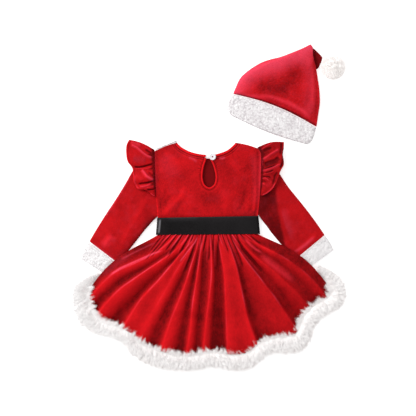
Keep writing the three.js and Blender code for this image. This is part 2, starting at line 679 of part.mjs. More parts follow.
function makeLoop() {
  const z = bindingTop + SEAM + CORD_R,
    { across: bx, up: by } = buttonAt;
  const pts = [
    [-7.2, by - 1.4],
    [-3, by - 2.2],
    [3, by - 2.5],
    [bx, by - 2.6],
    [bx + 2.3, by - 1.4],
    [bx + 2.3, by + 1.2],
    [bx, by + 2.4],
    [3, by + 2.3],
    [-3, by + 1.9],
    [-7.2, by + 1.4],
  ].map(([x, y]) => new THREE.Vector3(x, y, z));
  const shape = new THREE.Shape();
  for (let i = 0; i < 8; i++) {
    const a = (i / 8) * 2 * Math.PI;
    const p = [CORD_R * Math.cos(a), CORD_R * Math.sin(a)];
    i ? shape.lineTo(...p) : shape.moveTo(...p);
  }
  shape.closePath();
  return new THREE.ExtrudeGeometry(shape, {
    steps: 24,
    bevelEnabled: false,
    extrudePath: new THREE.CatmullRomCurve3(pts, false, "centripetal"),
  });
}

// Fleece collar on the front. Only its left shoulder end shows from the back.
const COLLAR = [
  { inAcross: -71, inUp: 207.5, outAcross: -117, outUp: 188.5 },
  { inAcross: -63.5, inUp: 190.5, outAcross: -104, outUp: 152 },
  { inAcross: -40, inUp: 172.5, outAcross: -66, outUp: 118 },
  { inAcross: 0, inUp: 164, outAcross: 0, outUp: 100 },
  { inAcross: 38, inUp: 173.5, outAcross: 62, outUp: 118 },
  { inAcross: 56.5, inUp: 190.5, outAcross: 96, outUp: 152 },
  { inAcross: 60, inUp: 199, outAcross: 107, outUp: 184 },
];
const collar = sheet(
  18,
  2,
  (u, v) => [
    mix(column(COLLAR, "inAcross", u), column(COLLAR, "outAcross", u), v),
    mix(column(COLLAR, "inUp", u), column(COLLAR, "outUp", u), v),
  ],
  () => 0,
  2.4,
);

// ------------------------------------------------------------ shoulder frills
// The back half lies over the sleeve head; the front half, under it, is plain.
function frillTop(rows) {
  return sheet(
    20,
    3,
    (u, v) => [
      mix(column(rows, "seamAcross", u), column(rows, "freeAcross", u), v),
      mix(column(rows, "seamUp", u), column(rows, "freeUp", u), v) +
        column(rows, "bow", u) * Math.sin(Math.PI * v),
    ],
    (u, v) => 8.2 + 4.4 * ease(v / 0.4) + column(rows, "wave", u) * (0.25 + 0.75 * v),
    CLOTH,
  );
}
function frillUnder(rows) {
  return sheet(
    8,
    2,
    (u, v) => {
      const s = mix(column(rows, "seamAcross", u), column(rows, "freeAcross", u), 0.05 + 0.78 * v);
      return [s, mix(column(rows, "seamUp", u), column(rows, "freeUp", u), 0.05 + 0.78 * v) - 2];
    },
    () => 0,
    2.2,
  );
}

// --------------------------------------------------------------- waist band
const BAND = [
  { outAcross: -113.2, outUp: 38, inAcross: 110.4, inUp: 42, low: 0, edge: 12.6, crown: 13.6 },
  { outAcross: -114.8, outUp: 19, inAcross: 112.2, inUp: 22, low: 0, edge: 12.8, crown: 13.8 },
  { outAcross: -116.5, outUp: 0, inAcross: 114, inUp: 2.2, low: 0, edge: 13, crown: 14 },
];

// ----------------------------------------------------------------- the skirt
const hemLine = evenCurve(HEM, "across", "down", -1);
function skirtAt(u, v) {
  const a = [mix(WAIST_LEFT, WAIST_RIGHT, u), WAIST_UP],
    b = hemLine(u);
  const long = Math.hypot(b[0] - a[0], b[1] - a[1]);
  let nx = -(b[1] - a[1]) / long,
    ny = (b[0] - a[0]) / long;
  if (ny < 0) {
    nx = -nx;
    ny = -ny;
  }
  // the sides bow outwards, most of all low down
  const mid = Math.max(0, Math.sin(Math.PI * v)),
    low = Math.max(0, Math.sin(Math.PI * v ** 2.6));
  const more = u < 0.5 ? 5 * low ** 1.2 : 4.5 * mid ** 0.8 + 3 * low ** 1.2;
  const bow = Math.abs(2 * u - 1) ** 3 * (13 * mid ** 1.6 + more);
  return [mix(a[0], b[0], v) + nx * bow, mix(a[1], b[1], v) + ny * bow];
}
// The sides lie on the lower ends of the sleeves.
function sleeveLift(x, y) {
  const far = Math.min(Math.hypot(x + 207, y + 74), Math.hypot(x - 202, y + 70));
  return 9.8 * (1 - ease((far - 46) / 62));
}
const FOLD_DEEP = 8.4; // how high the deepest folds stand
function foldHeight(u, v) {
  let z = 0;
  for (const f of FOLDS) {
    const at =
      v < 1 / 3
        ? mix(f.waist, f.third, v * 3)
        : v < 2 / 3
          ? mix(f.third, f.twoThirds, v * 3 - 1)
          : mix(f.twoThirds, f.hem, v * 3 - 2);
    const t = (u - at) / (u < at ? f.left : f.right);
    if (Math.abs(t) < 1) z += f.rise * Math.cos((Math.PI / 2) * t) ** 2;
  }
  return FOLD_DEEP * Math.min(1, z / 12) * mix(0.06, 1, ease(v / 0.45));
}
const SKIRT_GRID = 60;
const skirtBack = sheet(
  SKIRT_GRID,
  8,
  skirtAt,
  (u, v, x, y) => {
    const side = Math.min(u, 1 - u);
    // it lies on the front, and 3.6 higher over the brief
    const overBrief = ease((118 - Math.abs(x)) / 26) * ease((y + 184) / 24);
    return (
      FRONT_LOW +
      2.7 +
      sleeveLift(x, y) +
      3.6 * overBrief * ease(side / 0.03) +
      foldHeight(u, v) * ease(side / 0.03)
    );
  },
  (u, v) => {
    const d = 0.008,
      here = foldHeight(u, v),
      wide = mix(218, 680, v) * d;
    const slope = Math.abs(foldHeight(Math.min(1, u + d), v) - here) / wide;
    return CLOTH * Math.min(1.5, Math.sqrt(1 + slope * slope));
  },
);
// The front is the same cut, plain, and lies under the back.
const skirtFront = sheet(
  24,
  8,
  (u, v) => skirtAt(0.007 + 0.986 * u, 0.992 * v),
  (u, v, x, y) => FRONT_LOW + sleeveLift(x, y),
  CLOTH,
);
// Fur round the hem: one roll along the front hem, one on it along the back hem.
function hemFur(back) {
  const low = back ? FUR_MID + SEAM : 0,
    high = back ? FUR_TOP : FUR_MID;
  const reach = back ? 1 : 0.97;
  const corner = (u, { down, farAcross, farUp, full }) => {
    const [x, y] = skirtAt(u, down),
      middle = FUR_MID * full,
      clear = 1.1 / Math.hypot(farAcross - x, farUp - y);
    return {
      x: mix(x, farAcross, clear),
      y: mix(y, farUp, clear),
      farX: mix(x, farAcross, reach),
      farY: mix(y, farUp, reach),
      low: back ? middle + 1.4 : 0,
      high: back ? mix(middle + 1.4, high, full) : middle,
    };
  };
  const hem = [];
  for (let i = 0; i <= SKIRT_GRID; i++) {
    const [x, y, t] = hemLine(i / SKIRT_GRID);
    hem.push({
      x,
      y,
      farX: mix(x, column(HEM, "farAcross", t), reach),
      farY: mix(y, -column(HEM, "farDown", t), reach),
      low,
      high,
    });
  }
  return furRoll([
    ...CORNER_LEFT.map((row) => corner(0, row)),
    ...hem,
    ...CORNER_RIGHT.map((row) => corner(1, row)),
  ]);
}

// ----------------------------------------------------------------- the brief
const BRIEF = [
  { up: 4.6, half: 84 },
  { up: -25, half: 84 },
  { up: -55, half: 80 },
  { up: -85, half: 68 },
  { up: -115, half: 50 },
  { up: -140, half: 38 },
  { up: -157, half: 35 },
];
function brief(low) {
  return sheet(
    4,
    8,
    (u, v) => [
      -1 + column(BRIEF, "half", v) * (2 * u - 1),
      column(BRIEF, "up", v),
    ],
    () => low,
    1.5,
  );
}

// ------------------------------------------------------------------- the hat
// Its lower edge bows up in the middle, with the band's.
function crownAt(u, v) {
  const bow = 9.5 * Math.sin(Math.PI * u) * (1 - ease(v / 0.5));
  return [
    mix(column(CROWN, "leftAcross", v), column(CROWN, "rightAcross", v), u) + 0.37 * bow,
    mix(column(CROWN, "leftUp", v), column(CROWN, "rightUp", v), u) + 0.93 * bow,
  ];
}
const tipLift = (v) => 8.6 * ease((v - 0.6) / 0.25);
const crownUnder = sheet(10, 9, crownAt, (u, v) => 1.2 + tipLift(v), CLOTH);
const crownTop = sheet(
  12,
  10,
  crownAt,
  (u, v) =>
    1.2 + tipLift(v) + CLOTH + 0.6 + column(CROWN, "crown", v) * Math.sin(Math.PI * u) ** 0.75,
  CLOTH,
);
function bobble() {
  const profile = [new THREE.Vector2(0, 0)];
  const foot = Math.sqrt(BOBBLE_R ** 2 - BOBBLE_UP ** 2);
  const first = Math.atan2(-BOBBLE_UP, foot);
  for (let i = 0; i < 12; i++) {
    const a = mix(first, Math.PI / 2, i / 12);
    profile.push(
      new THREE.Vector2(BOBBLE_R * Math.cos(a), BOBBLE_UP + BOBBLE_R * Math.sin(a)),
    );
  }
  profile.push(new THREE.Vector2(0, BOBBLE_UP + BOBBLE_R));
  const g = new THREE.LatheGeometry(profile, 26);
  g.rotateX(Math.PI / 2);
  return g;
}

// ------------------------------------------------------------------ assembly
const VELVET = { color: 0xb01218, roughness: 0.75, metalness: 0 };
const velvet = () => new THREE.MeshStandardMaterial(VELVET);
const fleece = () =>
  new THREE.MeshStandardMaterial({ color: 0xf1eeec, roughness: 0.95, metalness: 0 });
const fur = () =>
  new THREE.MeshStandardMaterial({ color: 0xf7f4f1, roughness: 0.9, metalness: 0 });
const satin = () =>
  new THREE.MeshStandardMaterial({ color: 0x1b191b, roughness: 0.35, metalness: 0 });
const shell = () =>
  new THREE.MeshStandardMaterial({ color: 0xf2eff0, roughness: 0.25, metalness: 0 });

const romper = new THREE.Group();
const hat = new THREE.Group();
function piece(group, name, geometry, material, at = [0, 0, 0]) {
  const mesh = new THREE.Mesh(geometry, material);
  mesh.name = name;
  mesh.position.set(...at);
  group.add(mesh);
  return mesh;
}

piece(romper, "bodice_back", bodiceBack, velvet());
piece(romper, "bodice_front", bodiceFront, velvet());
piece(romper, "neck_binding_left", neckBackLeft, velvet());
piece(romper, "neck_binding_right", neckBackRight, velvet());
piece(romper, "neck_binding_front", neckFrontStrip, velvet());
piece(romper, "keyhole_binding", keyBinding, velvet());
piece(romper, "button", makeButton(), shell(), [
  buttonAt.across,
  buttonAt.up,
  bindingTop + SEAM,
]);
piece(romper, "button_loop", makeLoop(), shell());
piece(romper, "collar_front", collar, fleece());
piece(romper, "sleeve_left", flatTube(SLEEVE_LEFT, CLOTH, 9, 4), velvet());
piece(romper, "sleeve_right", flatTube(SLEEVE_RIGHT, CLOTH, 9, 4), velvet());
piece(romper, "cuff_left", flatTube(CUFF_LEFT, FLEECE, 3, 4), fleece());
piece(romper, "cuff_right", flatTube(CUFF_RIGHT, FLEECE, 3, 4), fleece());
piece(romper, "frill_left", frillTop(FRILL_LEFT), velvet());
piece(romper, "frill_right", frillTop(FRILL_RIGHT), velvet());
piece(romper, "frill_left_front", frillUnder(FRILL_LEFT), velvet());
piece(romper, "frill_right_front", frillUnder(FRILL_RIGHT), velvet());
piece(romper, "waist_band", flatTube(BAND, RIBBON, 3, 6), satin());
piece(romper, "skirt_back", skirtBack, velvet());
piece(romper, "skirt_front", skirtFront, velvet());
piece(romper, "brief_front", brief(4.9), velvet());
piece(romper, "brief_back", brief(6.8), velvet());
piece(romper, "fur_hem_back", hemFur(true), fur());
piece(romper, "fur_hem_front", hemFur(false), fur());

piece(hat, "hat_crown_top", crownTop, velvet());
piece(hat, "hat_crown_under", crownUnder, velvet());
piece(hat, "hat_tip", flatTube(HAT_TIP, CLOTH, 5, 3), velvet());
piece(hat, "hat_band", flatTube(HAT_BAND, FLEECE, 4, 7), fleece());
piece(hat, "hat_bobble", bobble(), fur(), [272.6, 368, 0]);

const set = new THREE.Group();
set.add(romper, hat);
set.position.set(-MIDDLE.across, -MIDDLE.up, 0);

export default set;
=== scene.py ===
"""Looks of the velvet romper and hat set, laid flat with its back up.

Sizes are in millimetres from the middle of the waist seam, as in the CAD part,
and go through to_row() into the part's own frame in metres.
"""

import math

import bpy
import numpy as np
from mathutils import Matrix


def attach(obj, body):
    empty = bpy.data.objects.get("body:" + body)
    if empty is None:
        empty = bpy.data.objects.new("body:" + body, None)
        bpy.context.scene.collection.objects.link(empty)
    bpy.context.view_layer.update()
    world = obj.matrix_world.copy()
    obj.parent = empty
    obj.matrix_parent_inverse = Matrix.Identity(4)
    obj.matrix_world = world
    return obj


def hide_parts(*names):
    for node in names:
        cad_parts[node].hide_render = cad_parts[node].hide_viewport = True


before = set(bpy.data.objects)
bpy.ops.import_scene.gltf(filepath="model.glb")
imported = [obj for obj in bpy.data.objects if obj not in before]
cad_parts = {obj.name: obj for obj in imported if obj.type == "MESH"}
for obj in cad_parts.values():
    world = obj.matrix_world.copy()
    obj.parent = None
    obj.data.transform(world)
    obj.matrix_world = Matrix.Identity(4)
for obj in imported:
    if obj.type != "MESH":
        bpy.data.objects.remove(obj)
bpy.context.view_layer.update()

MIDDLE_X, MIDDLE_Y = 0.5, 61.3  # the footprint's middle, seen from the waist
CLOTH = 1.8
BODY = "root"


def to_row(p):
    q = np.array(p, float)
    q[..., 0] -= MIDDLE_X
    q[..., 1] -= MIDDLE_Y
    return q * 0.001


# --------------------------------------------------------------------------
# small maths
# --------------------------------------------------------------------------
def mix(a, b, t):
    return a + (b - a) * t


def ease(t):
    t = np.clip(t, 0.0, 1.0)
    return t * t * (3 - 2 * t)


def table(text):
    """A table of numbers with a heading line of column names."""
    rows = [line.split() for line in text.strip().splitlines()]
    return {
        k: np.array([float(r[i]) for r in rows[1:]]) for i, k in enumerate(rows[0])
    }


def column(rows, key, t):
    """Catmull-Rom through one column of a table, t from 0 to 1 over its rows."""
    c = rows[key]
    f = np.clip(np.asarray(t, float), 0, 1) * (len(c) - 1)
    i = np.minimum(np.floor(f).astype(int), len(c) - 2)
    s = f - i
    at = lambda k: c[np.clip(k, 0, len(c) - 1)]
    a, b, d, e = at(i - 1), at(i), at(i + 1), at(i + 2)
    return b + 0.5 * s * (
        d - a + s * (2 * a - 5 * b + 4 * d - e + s * (3 * (b - d) + e - a))
    )


def even_curve(rows, kx, ky, sign=1.0):
    """The curve through a table's points, spaced evenly along its length."""
    t = np.linspace(0, 1, 1201)
    x, y = column(rows, kx, t), sign * column(rows, ky, t)
    s = np.concatenate([[0], np.cumsum(np.hypot(np.diff(x), np.diff(y)))])
    s /= s[-1]

    def at(u):
        u = np.clip(u, 0, 1)
        return np.interp(u, s, x), np.interp(u, s, y), np.interp(u, s, t)

    return at


def noise2(x, y, seed, octaves=1):
    """Smooth noise from -1 to 1, the same on every run."""
    total, amp, scale = 0.0, 1.0, 1.0
    norm = 0.0
    for o in range(octaves):
        grid = np.random.RandomState(seed + 17 * o).rand(64, 64) * 2 - 1
        fx, fy = np.asarray(x) * scale, np.asarray(y) * scale
        ix, iy = np.floor(fx).astype(int), np.floor(fy).astype(int)
        sx, sy = ease(fx - ix), ease(fy - iy)
        g = lambda a, b: grid[a % 64, b % 64]
        total = total + amp * mix(
            mix(g(ix, iy), g(ix + 1, iy), sx), mix(g(ix, iy + 1), g(ix + 1, iy + 1), sx), sy
        )
        norm += amp
        amp *= 0.5
        scale *= 2.03
    return total / norm


def blur_rows(a, sigma, axis):
    """Gaussian blur along one axis, edges held."""
    r = max(1, int(3 * sigma))
    k = np.exp(-0.5 * (np.arange(-r, r + 1) / sigma) ** 2)
    k /= k.sum()
    pad = [(0, 0)] * a.ndim
    pad[axis] = (r, r)
    b = np.pad(a, pad, mode="edge")
    out = np.zeros_like(a)
    for i, w in enumerate(k):
        sl = [slice(None)] * a.ndim
        sl[axis] = slice(i, i + a.shape[axis])
        out += w * b[tuple(sl)]
    return out


def ridge(x, y, path, rise, left, right, sharp=2.0, ends=12.0):
    """A soft ridge (or trough, with a negative rise) along a short path of points,
    as wide as left and right of it, fading over its ends."""
    best = np.full(np.shape(x), 1e9)
    side = np.zeros(np.shape(x))
    along = np.zeros(np.shape(x))
    pts = np.array(path, float)
    seg = np.hypot(*np.diff(pts, axis=0).T)
    total, run = seg.sum(), 0.0
    for (ax, ay), (bx, by), ln in zip(pts[:-1], pts[1:], seg):
        dx, dy = (bx - ax) / ln, (by - ay) / ln
        s = np.clip((x - ax) * dx + (y - ay) * dy, 0, ln)
        ox, oy = x - ax - dx * s, y - ay - dy * s
        d = np.hypot(ox, oy)
        near = d < best
        best = np.where(near, d, best)
        side = np.where(near, np.sign(dx * oy - dy * ox), side)
        along = np.where(near, run + s, along)
        run += ln
    wide = np.where(side > 0, left, right)
    t = np.clip(best / wide, 0, 1)
    fade = ease(along / ends) * ease((total - along) / ends)
    return rise * fade * (1 - t**sharp) ** 2


def build(name, verts, faces, material, nodes=(), attrs=None, flip=False):
    """A mesh piece from arrays: verts in millimetres, faces a list of index arrays."""
    faces = [np.asarray(f, np.int32) for f in faces if len(f)]
    if flip:
        faces = [f[:, ::-1] for f in faces]
    co = to_row(verts).astype(np.float32)
    me = bpy.data.meshes.new(name)
    me.vertices.add(len(co))
    me.vertices.foreach_set("co", co.ravel())
    loops = np.concatenate([f.ravel() for f in faces])
    sizes = np.concatenate([np.full(len(f), f.shape[1], np.int32) for f in faces])
    starts = np.concatenate([[0], np.cumsum(sizes)[:-1]]).astype(np.int32)
    me.loops.add(len(loops))
    me.loops.foreach_set("vertex_index", loops.astype(np.int32))
    me.polygons.add(len(sizes))
    me.polygons.foreach_set("loop_start", starts)
    me.update(calc_edges=True)
    me.validate()
    me.polygons.foreach_set("use_smooth", np.ones(len(me.polygons), bool))
    for key, values in (attrs or {}).items():
        a = me.attributes.new(name=key, type="FLOAT", domain="POINT")
        a.data.foreach_set("value", np.asarray(values, np.float32).ravel())
    me.materials.append(material)
    obj = bpy.data.objects.new(name, me)
    bpy.context.scene.collection.objects.link(obj)
    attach(obj, BODY)
    if nodes:
        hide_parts(*nodes)
    return obj


def shell_arrays(top, thick, mask=None, edge_round=0.35):
    """A closed sheet from a grid of its upper points (rows, columns, 3): its lower
    face hangs thick below, and it thins at its rim, as a turned edge does."""
    m, n = top.shape[:2]
    top = top.copy()
    if edge_round and mask is None:
        i = np.minimum(np.arange(m), np.arange(m)[::-1])[:, None]
        j = np.minimum(np.arange(n), np.arange(n)[::-1])[None, :]
        rim = np.minimum(i, j)
        drop = np.where(rim == 0, edge_round, np.where(rim == 1, edge_round * 0.25, 0))
    else:
        drop = np.zeros((m, n))
    t = np.broadcast_to(np.asarray(thick, float), (m, n))
    bot = top.copy()
    bot[..., 2] -= t * (1 - drop)
    top[..., 2] -= t * drop
    idx = np.arange(m * n).reshape(m, n)
    q = np.stack([idx[:-1, :-1], idx[:-1, 1:], idx[1:, 1:], idx[1:, :-1]], -1)
    if mask is not None:
        q = q[mask]
    q = q.reshape(-1, 4)
    a, b, c, d = top.reshape(-1, 3)[q[len(q) // 2]]
    if np.cross(b - a, c - a)[2] < 0:
        q = q[:, ::-1]
    low = q[:, ::-1] + m * n
    edges = np.concatenate([q[:, [k, (k + 1) % 4]] for k in range(4)])
    code = edges[:, 0].astype(np.int64) * (m * n) + edges[:, 1]
    back = edges[:, 1].astype(np.int64) * (m * n) + edges[:, 0]
    rim = edges[~np.isin(code, back)]
    walls = np.stack([rim[:, 1], rim[:, 0], rim[:, 0] + m * n, rim[:, 1] + m * n], -1)
    verts = np.concatenate([top.reshape(-1, 3), bot.reshape(-1, 3)])
    return verts, [np.concatenate([q, low, walls])]


def used_only(verts, faces, attrs):
    """Drops points that no face uses."""
    used = np.unique(np.concatenate([f.ravel() for f in faces]))
    new = np.full(len(verts), -1)
    new[used] = np.arange(len(used))
    return verts[used], [new[f] for f in faces], {k: v[used] for k, v in attrs.items()}


def cloth(name, top, thick, material, nodes, shade=None, mask=None, round_=0.35, glint=None):
    verts, faces = shell_arrays(top, thick, mask, round_)
    if shade is None:
        shade = np.full(top.shape[:2], 0.5)
    if glint is None:
        glint = np.zeros(top.shape[:2])
    attrs = {
        "shade": np.concatenate([shade.ravel(), shade.ravel()]),
        "glint": np.concatenate([glint.ravel(), glint.ravel()]),
    }
    verts, faces, attrs = used_only(verts, faces, attrs)
    return build(name, verts, faces, material, nodes, attrs)


def hollow_shade(z, sigma_u, sigma_v, deep):
    """0 in the hollows of a height field, 1 on its crests."""
    wide = blur_rows(blur_rows(z, sigma_u, 1), sigma_v, 0)
    return np.clip(0.5 + (z - wide) / deep, 0, 1)


def ring_tube(outer, inner, closed_ends=True):
    """A wall that goes right round, from two grids (rings, points round, 3)."""
    m, n = outer.shape[:2]
    verts = np.concatenate([outer.reshape(-1, 3), inner.reshape(-1, 3)])
    o = np.arange(m * n).reshape(m, n)
    i = o + m * n
    nxt = np.roll(np.arange(n), -1)
    qo = np.stack([o[:-1], o[:-1][:, nxt], o[1:][:, nxt], o[1:]], -1).reshape(-1, 4)
    qi = np.stack([i[:-1], i[1:], i[1:][:, nxt], i[:-1][:, nxt]], -1).reshape(-1, 4)
    e0 = np.stack([o[0], i[0], i[0][nxt], o[0][nxt]], -1)
    e1 = np.stack([o[-1], o[-1][nxt], i[-1][nxt], i[-1]], -1)
    faces = np.concatenate([qo, qi, e0, e1])
    return verts, [faces]


def solid_tube(rings):
    """Rings (m, n, 3) closed at both ends."""
    m, n = rings.shape[:2]
    o = np.arange(m * n).reshape(m, n)
    nxt = np.roll(np.arange(n), -1)
    q = np.stack([o[:-1], o[:-1][:, nxt], o[1:][:, nxt], o[1:]], -1).reshape(-1, 4)
    verts = np.concatenate(
        [rings.reshape(-1, 3), rings[0].mean(0)[None], rings[-1].mean(0)[None]]
    )
    c0, c1 = m * n, m * n + 1
    t0 = np.stack([np.full(n, c0), o[0][nxt], o[0]], -1)
    t1 = np.stack([np.full(n, c1), o[-1], o[-1][nxt]], -1)
    return verts, [q, np.concatenate([t0, t1])]


def facing_out(verts, faces):
    """True if the faces' normals point out of the closed surface."""
    v = 0.0
    for f in faces:
        a = verts[f[:, 0]]
        for k in range(1, f.shape[1] - 1):
            v += np.einsum("ij,ij->i", a, np.cross(verts[f[:, k]], verts[f[:, k + 1]])).sum()
    return v > 0


# --------------------------------------------------------------------------
# materials
# --------------------------------------------------------------------------
class Nodes:
    """Short calls for building a node tree."""

    def __init__(self, name):
        self.mat = bpy.data.materials.new(name)
        self.mat.use_nodes = True
        self.t = self.mat.node_tree
        self.t.nodes.clear()
        self.out = self.add("ShaderNodeOutputMaterial")
        self.bsdf = self.add("ShaderNodeBsdfPrincipled")
        self.link(self.bsdf, "BSDF", self.out, "Surface")
        self.coord = self.add("ShaderNodeTexCoord")

    def add(self, kind, **values):
        n = self.t.nodes.new(kind)
        for k, v in values.items():
            setattr(n, k, v)
        return n

    def link(self, a, out, b, into):
        self.t.links.new(a.outputs[out], b.inputs[into])

    def noise(self, scale, detail=3.0, rough=0.5, distortion=0.0):
        n = self.add("ShaderNodeTexNoise")
        n.inputs["Scale"].default_value = scale
        n.inputs["Detail"].default_value = detail
        n.inputs["Roughness"].default_value = rough
        n.inputs["Distortion"].default_value = distortion
        self.link(self.coord, "Object", n, "Vector")
        return n

    def remap(self, node, out, low, high, to_low=0.0, to_high=1.0):
        r = self.add("ShaderNodeMapRange")
        r.inputs["From Min"].default_value = low
        r.inputs["From Max"].default_value = high
        r.inputs["To Min"].default_value = to_low
        r.inputs["To Max"].default_value = to_high
        self.link(node, out, r, "Value")
        return r

    def maths(self, op, a, b):
        m = self.add("ShaderNodeMath", operation=op)
        for i, v in enumerate((a, b)):
            if isinstance(v, (int, float)):
                m.inputs[i].default_value = v
            else:
                self.t.links.new(v, m.inputs[i])
        return m.outputs[0]

    def blend(self, factor, a, b, mode="MIX"):
        m = self.add("ShaderNodeMix", data_type="RGBA", blend_type=mode)
        for i, v in ((0, factor), (6, a), (7, b)):
            if isinstance(v, (int, float)):
                m.inputs[i].default_value = v
            elif isinstance(v, tuple):
                m.inputs[i].default_value = (*v, 1.0)
            else:
                self.t.links.new(v, m.inputs[i])
        return m.outputs[2]

    def attribute(self, name):
        a = self.add("ShaderNodeAttribute", attribute_name=name)
        return a

    def bump(self, height, strength, distance, normal=None):
        b = self.add("ShaderNodeBump")
        b.inputs["Strength"].default_value = strength
        b.inputs["Distance"].default_value = distance
        self.t.links.new(height, b.inputs["Height"])
        if normal is not None:
            self.t.links.new(normal, b.inputs["Normal"])
        return b.outputs[0]

    def set(self, **values):
        for k, v in values.items():
            self.bsdf.inputs[k.replace("_", " ")].default_value = v


def velvet(name, deep=(0.105, 0.0004, 0.0012), bright=(0.80, 0.0075, 0.0125), tone=1.0, shine=(0.92, 0.10, 0.19)):
    """Red velvet. Its colour carries painted light and shade: "shade" says how light it is painted,
    dark in hollows and light on crests, and "glint" is a painted highlight along a crest, in shine."""
    n = Nodes(name)
    shade = n.attribute("shade")
    nap = n.noise(21.0, 2.0, 0.55, 0.4)
    brushed = n.noise(140.0, 3.0, 0.6, 0.6)
    pile_ = n.noise(2100.0, 2.0, 0.6)
    speck = n.noise(620.0, 1.0, 0.5)
    a = n.remap(nap, "Fac", 0.3, 0.7, -0.07, 0.07).outputs[0]
    b = n.remap(brushed, "Fac", 0.3, 0.7, -0.05, 0.05).outputs[0]
    c = n.remap(pile_, "Fac", 0.25, 0.75, -0.08, 0.08).outputs[0]
    d = n.remap(speck, "Fac", 0.25, 0.75, -0.06, 0.06).outputs[0]
    level = n.maths(
        "ADD", shade.outputs["Fac"], n.maths("ADD", n.maths("ADD", a, d), n.maths("ADD", b, c))
    )
    ramp = n.add("ShaderNodeValToRGB")
    el = ramp.color_ramp.elements
    el[0].position, el[0].color = 0.0, (*[v * tone for v in deep], 1)
    el[1].position, el[1].color = 1.0, (*[v * tone for v in bright], 1)
    mid = el.new(0.5)
    mid.color = (*[mix(d_, b_, 0.55) * tone for d_, b_ in zip(deep, bright)], 1)
    n.t.links.new(level, ramp.inputs[0])
    glint = n.attribute("glint")
    speckle = n.remap(speck, "Fac", 0.3, 0.7, 0.7, 1.15).outputs[0]
    colour = n.blend(n.maths("MULTIPLY", glint.outputs["Fac"], speckle), ramp.outputs[0], shine)
    n.t.links.new(colour, n.bsdf.inputs["Base Color"])
    n.set(Roughness=0.75, Metallic=0.0)
    n.bsdf.inputs["Specular IOR Level"].default_value = 0.06
    n.bsdf.inputs["Sheen Weight"].default_value = 0.22
    n.bsdf.inputs["Sheen Roughness"].default_value = 0.32
    n.bsdf.inputs["Sheen Tint"].default_value = (1.0, 0.13, 0.22, 1)
    fine = n.bump(pile_.outputs["Fac"], 0.35, 0.0005)
    both = n.bump(brushed.outputs["Fac"], 0.25, 0.0012, fine)
    n.t.links.new(both, n.bsdf.inputs["Normal"])
    return n.mat


def fleece(name):
    """Curly pile: white lumps, with painted shade greying the gaps between them and where the "shade" attribute is low.
    """
    n = Nodes(name)
    curl = n.add("ShaderNodeTexVoronoi", feature="F1")
    curl.inputs["Scale"].default_value = 210.0
    warp = n.noise(300.0, 2.0, 0.6)
    place = n.add("ShaderNodeVectorMath", operation="MULTIPLY_ADD")
    place.inputs[1].default_value = (0.004, 0.004, 0.004)
    n.link(warp, "Color", place, 0)
    n.link(n.coord, "Object", place, 2)
    n.link(place, 0, curl, "Vector")
    soft = n.noise(330.0, 3.0, 0.65)
    shade = n.attribute("shade")
    gap = n.remap(curl, "Distance", 0.35, 0.85, 0.0, 0.55).outputs[0]
    patch = n.remap(soft, "Fac", 0.45, 0.70, 0.0, 0.5).outputs[0]
    dark = n.maths("ADD", n.maths("ADD", gap, patch), n.remap(shade, "Fac", 0.0, 1.0, 0.7, -0.7).outputs[0])
    clamped = n.maths("MINIMUM", n.maths("MAXIMUM", dark, 0.0), 1.0)
    colour = n.blend(clamped, (0.85, 0.83, 0.835), (0.55, 0.505, 0.525))
    n.t.links.new(colour, n.bsdf.inputs["Base Color"])
    n.set(Roughness=0.95)
    n.bsdf.inputs["Specular IOR Level"].default_value = 0.1
    n.bsdf.inputs["Sheen Weight"].default_value = 0.15
    n.bsdf.inputs["Sheen Roughness"].default_value = 0.6
    n.bsdf.inputs["Emission Color"].default_value = (1.0, 0.98, 0.975, 1)
    n.bsdf.inputs["Emission Strength"].default_value = 0.0
    b = n.bump(curl.outputs["Distance"], 0.6, 0.0012)
    n.t.links.new(b, n.bsdf.inputs["Normal"])
    return n.mat


def pile(name, root=(0.60, 0.54, 0.50), tip=(0.93, 0.915, 0.905), glow=0.0):
    """Long fur, blended from warm grey to white by its "tip" attribute: the grey is painted shade deep in the pile at
    the roots, and the pieces add more painted light and shade to "tip".
    """
    n = Nodes(name)
    along = n.attribute("tip")
    tone = n.noise(60.0, 2.0, 0.5)
    f = n.maths("ADD", along.outputs["Fac"], n.remap(tone, "Fac", 0.3, 0.7, -0.12, 0.12).outputs[0])
    f = n.maths("MINIMUM", n.maths("MAXIMUM", f, 0.0), 1.0)
    colour = n.blend(f, root, tip)
    # painted light: the hairs glow a little, standing in for the light that white hairs pass on to each other, so that
    # their hollows stay light
    n.bsdf.inputs["Emission Color"].default_value = (1.0, 0.985, 0.982, 1)
    n.bsdf.inputs["Emission Strength"].default_value = glow
    n.t.links.new(colour, n.bsdf.inputs["Base Color"])
    n.set(Roughness=0.72)
    n.bsdf.inputs["Specular IOR Level"].default_value = 0.25
    n.bsdf.inputs["Sheen Weight"].default_value = 0.2
    n.bsdf.inputs["Sheen Roughness"].default_value = 0.5
    return n.mat


def satin(name):
    n = Nodes(name)
    rib = n.add("ShaderNodeTexWave", wave_type="BANDS", bands_direction="Y")
    rib.inputs["Scale"].default_value = 900.0
    rib.inputs["Distortion"].default_value = 0.6
    n.link(n.coord, "Object", rib, "Vector")
    # painted sheen: the black is a little lighter in broad patches
    sheen = n.noise(18.0, 2.0, 0.5)
    colour = n.blend(
        n.remap(sheen, "Fac", 0.35, 0.7, 0.0, 1.0).outputs[0], (0.0030, 0.0022, 0.0026), (0.0060, 0.0046, 0.0052)
    )
    # painted highlight where the "glint" attribute is high: the belt's lit end and edges
    glint = n.attribute("glint")
    colour = n.blend(glint.outputs["Fac"], colour, (0.30, 0.29, 0.31))
    n.t.links.new(colour, n.bsdf.inputs["Base Color"])
    n.set(Roughness=0.34)
    n.bsdf.inputs["Specular IOR Level"].default_value = 0.09
    n.bsdf.inputs["Sheen Weight"].default_value = 0.02
    n.bsdf.inputs["Sheen Roughness"].default_value = 0.3
    b = n.bump(rib.outputs["Fac"], 0.08, 0.0002)
    n.t.links.new(b, n.bsdf.inputs["Normal"])
    return n.mat


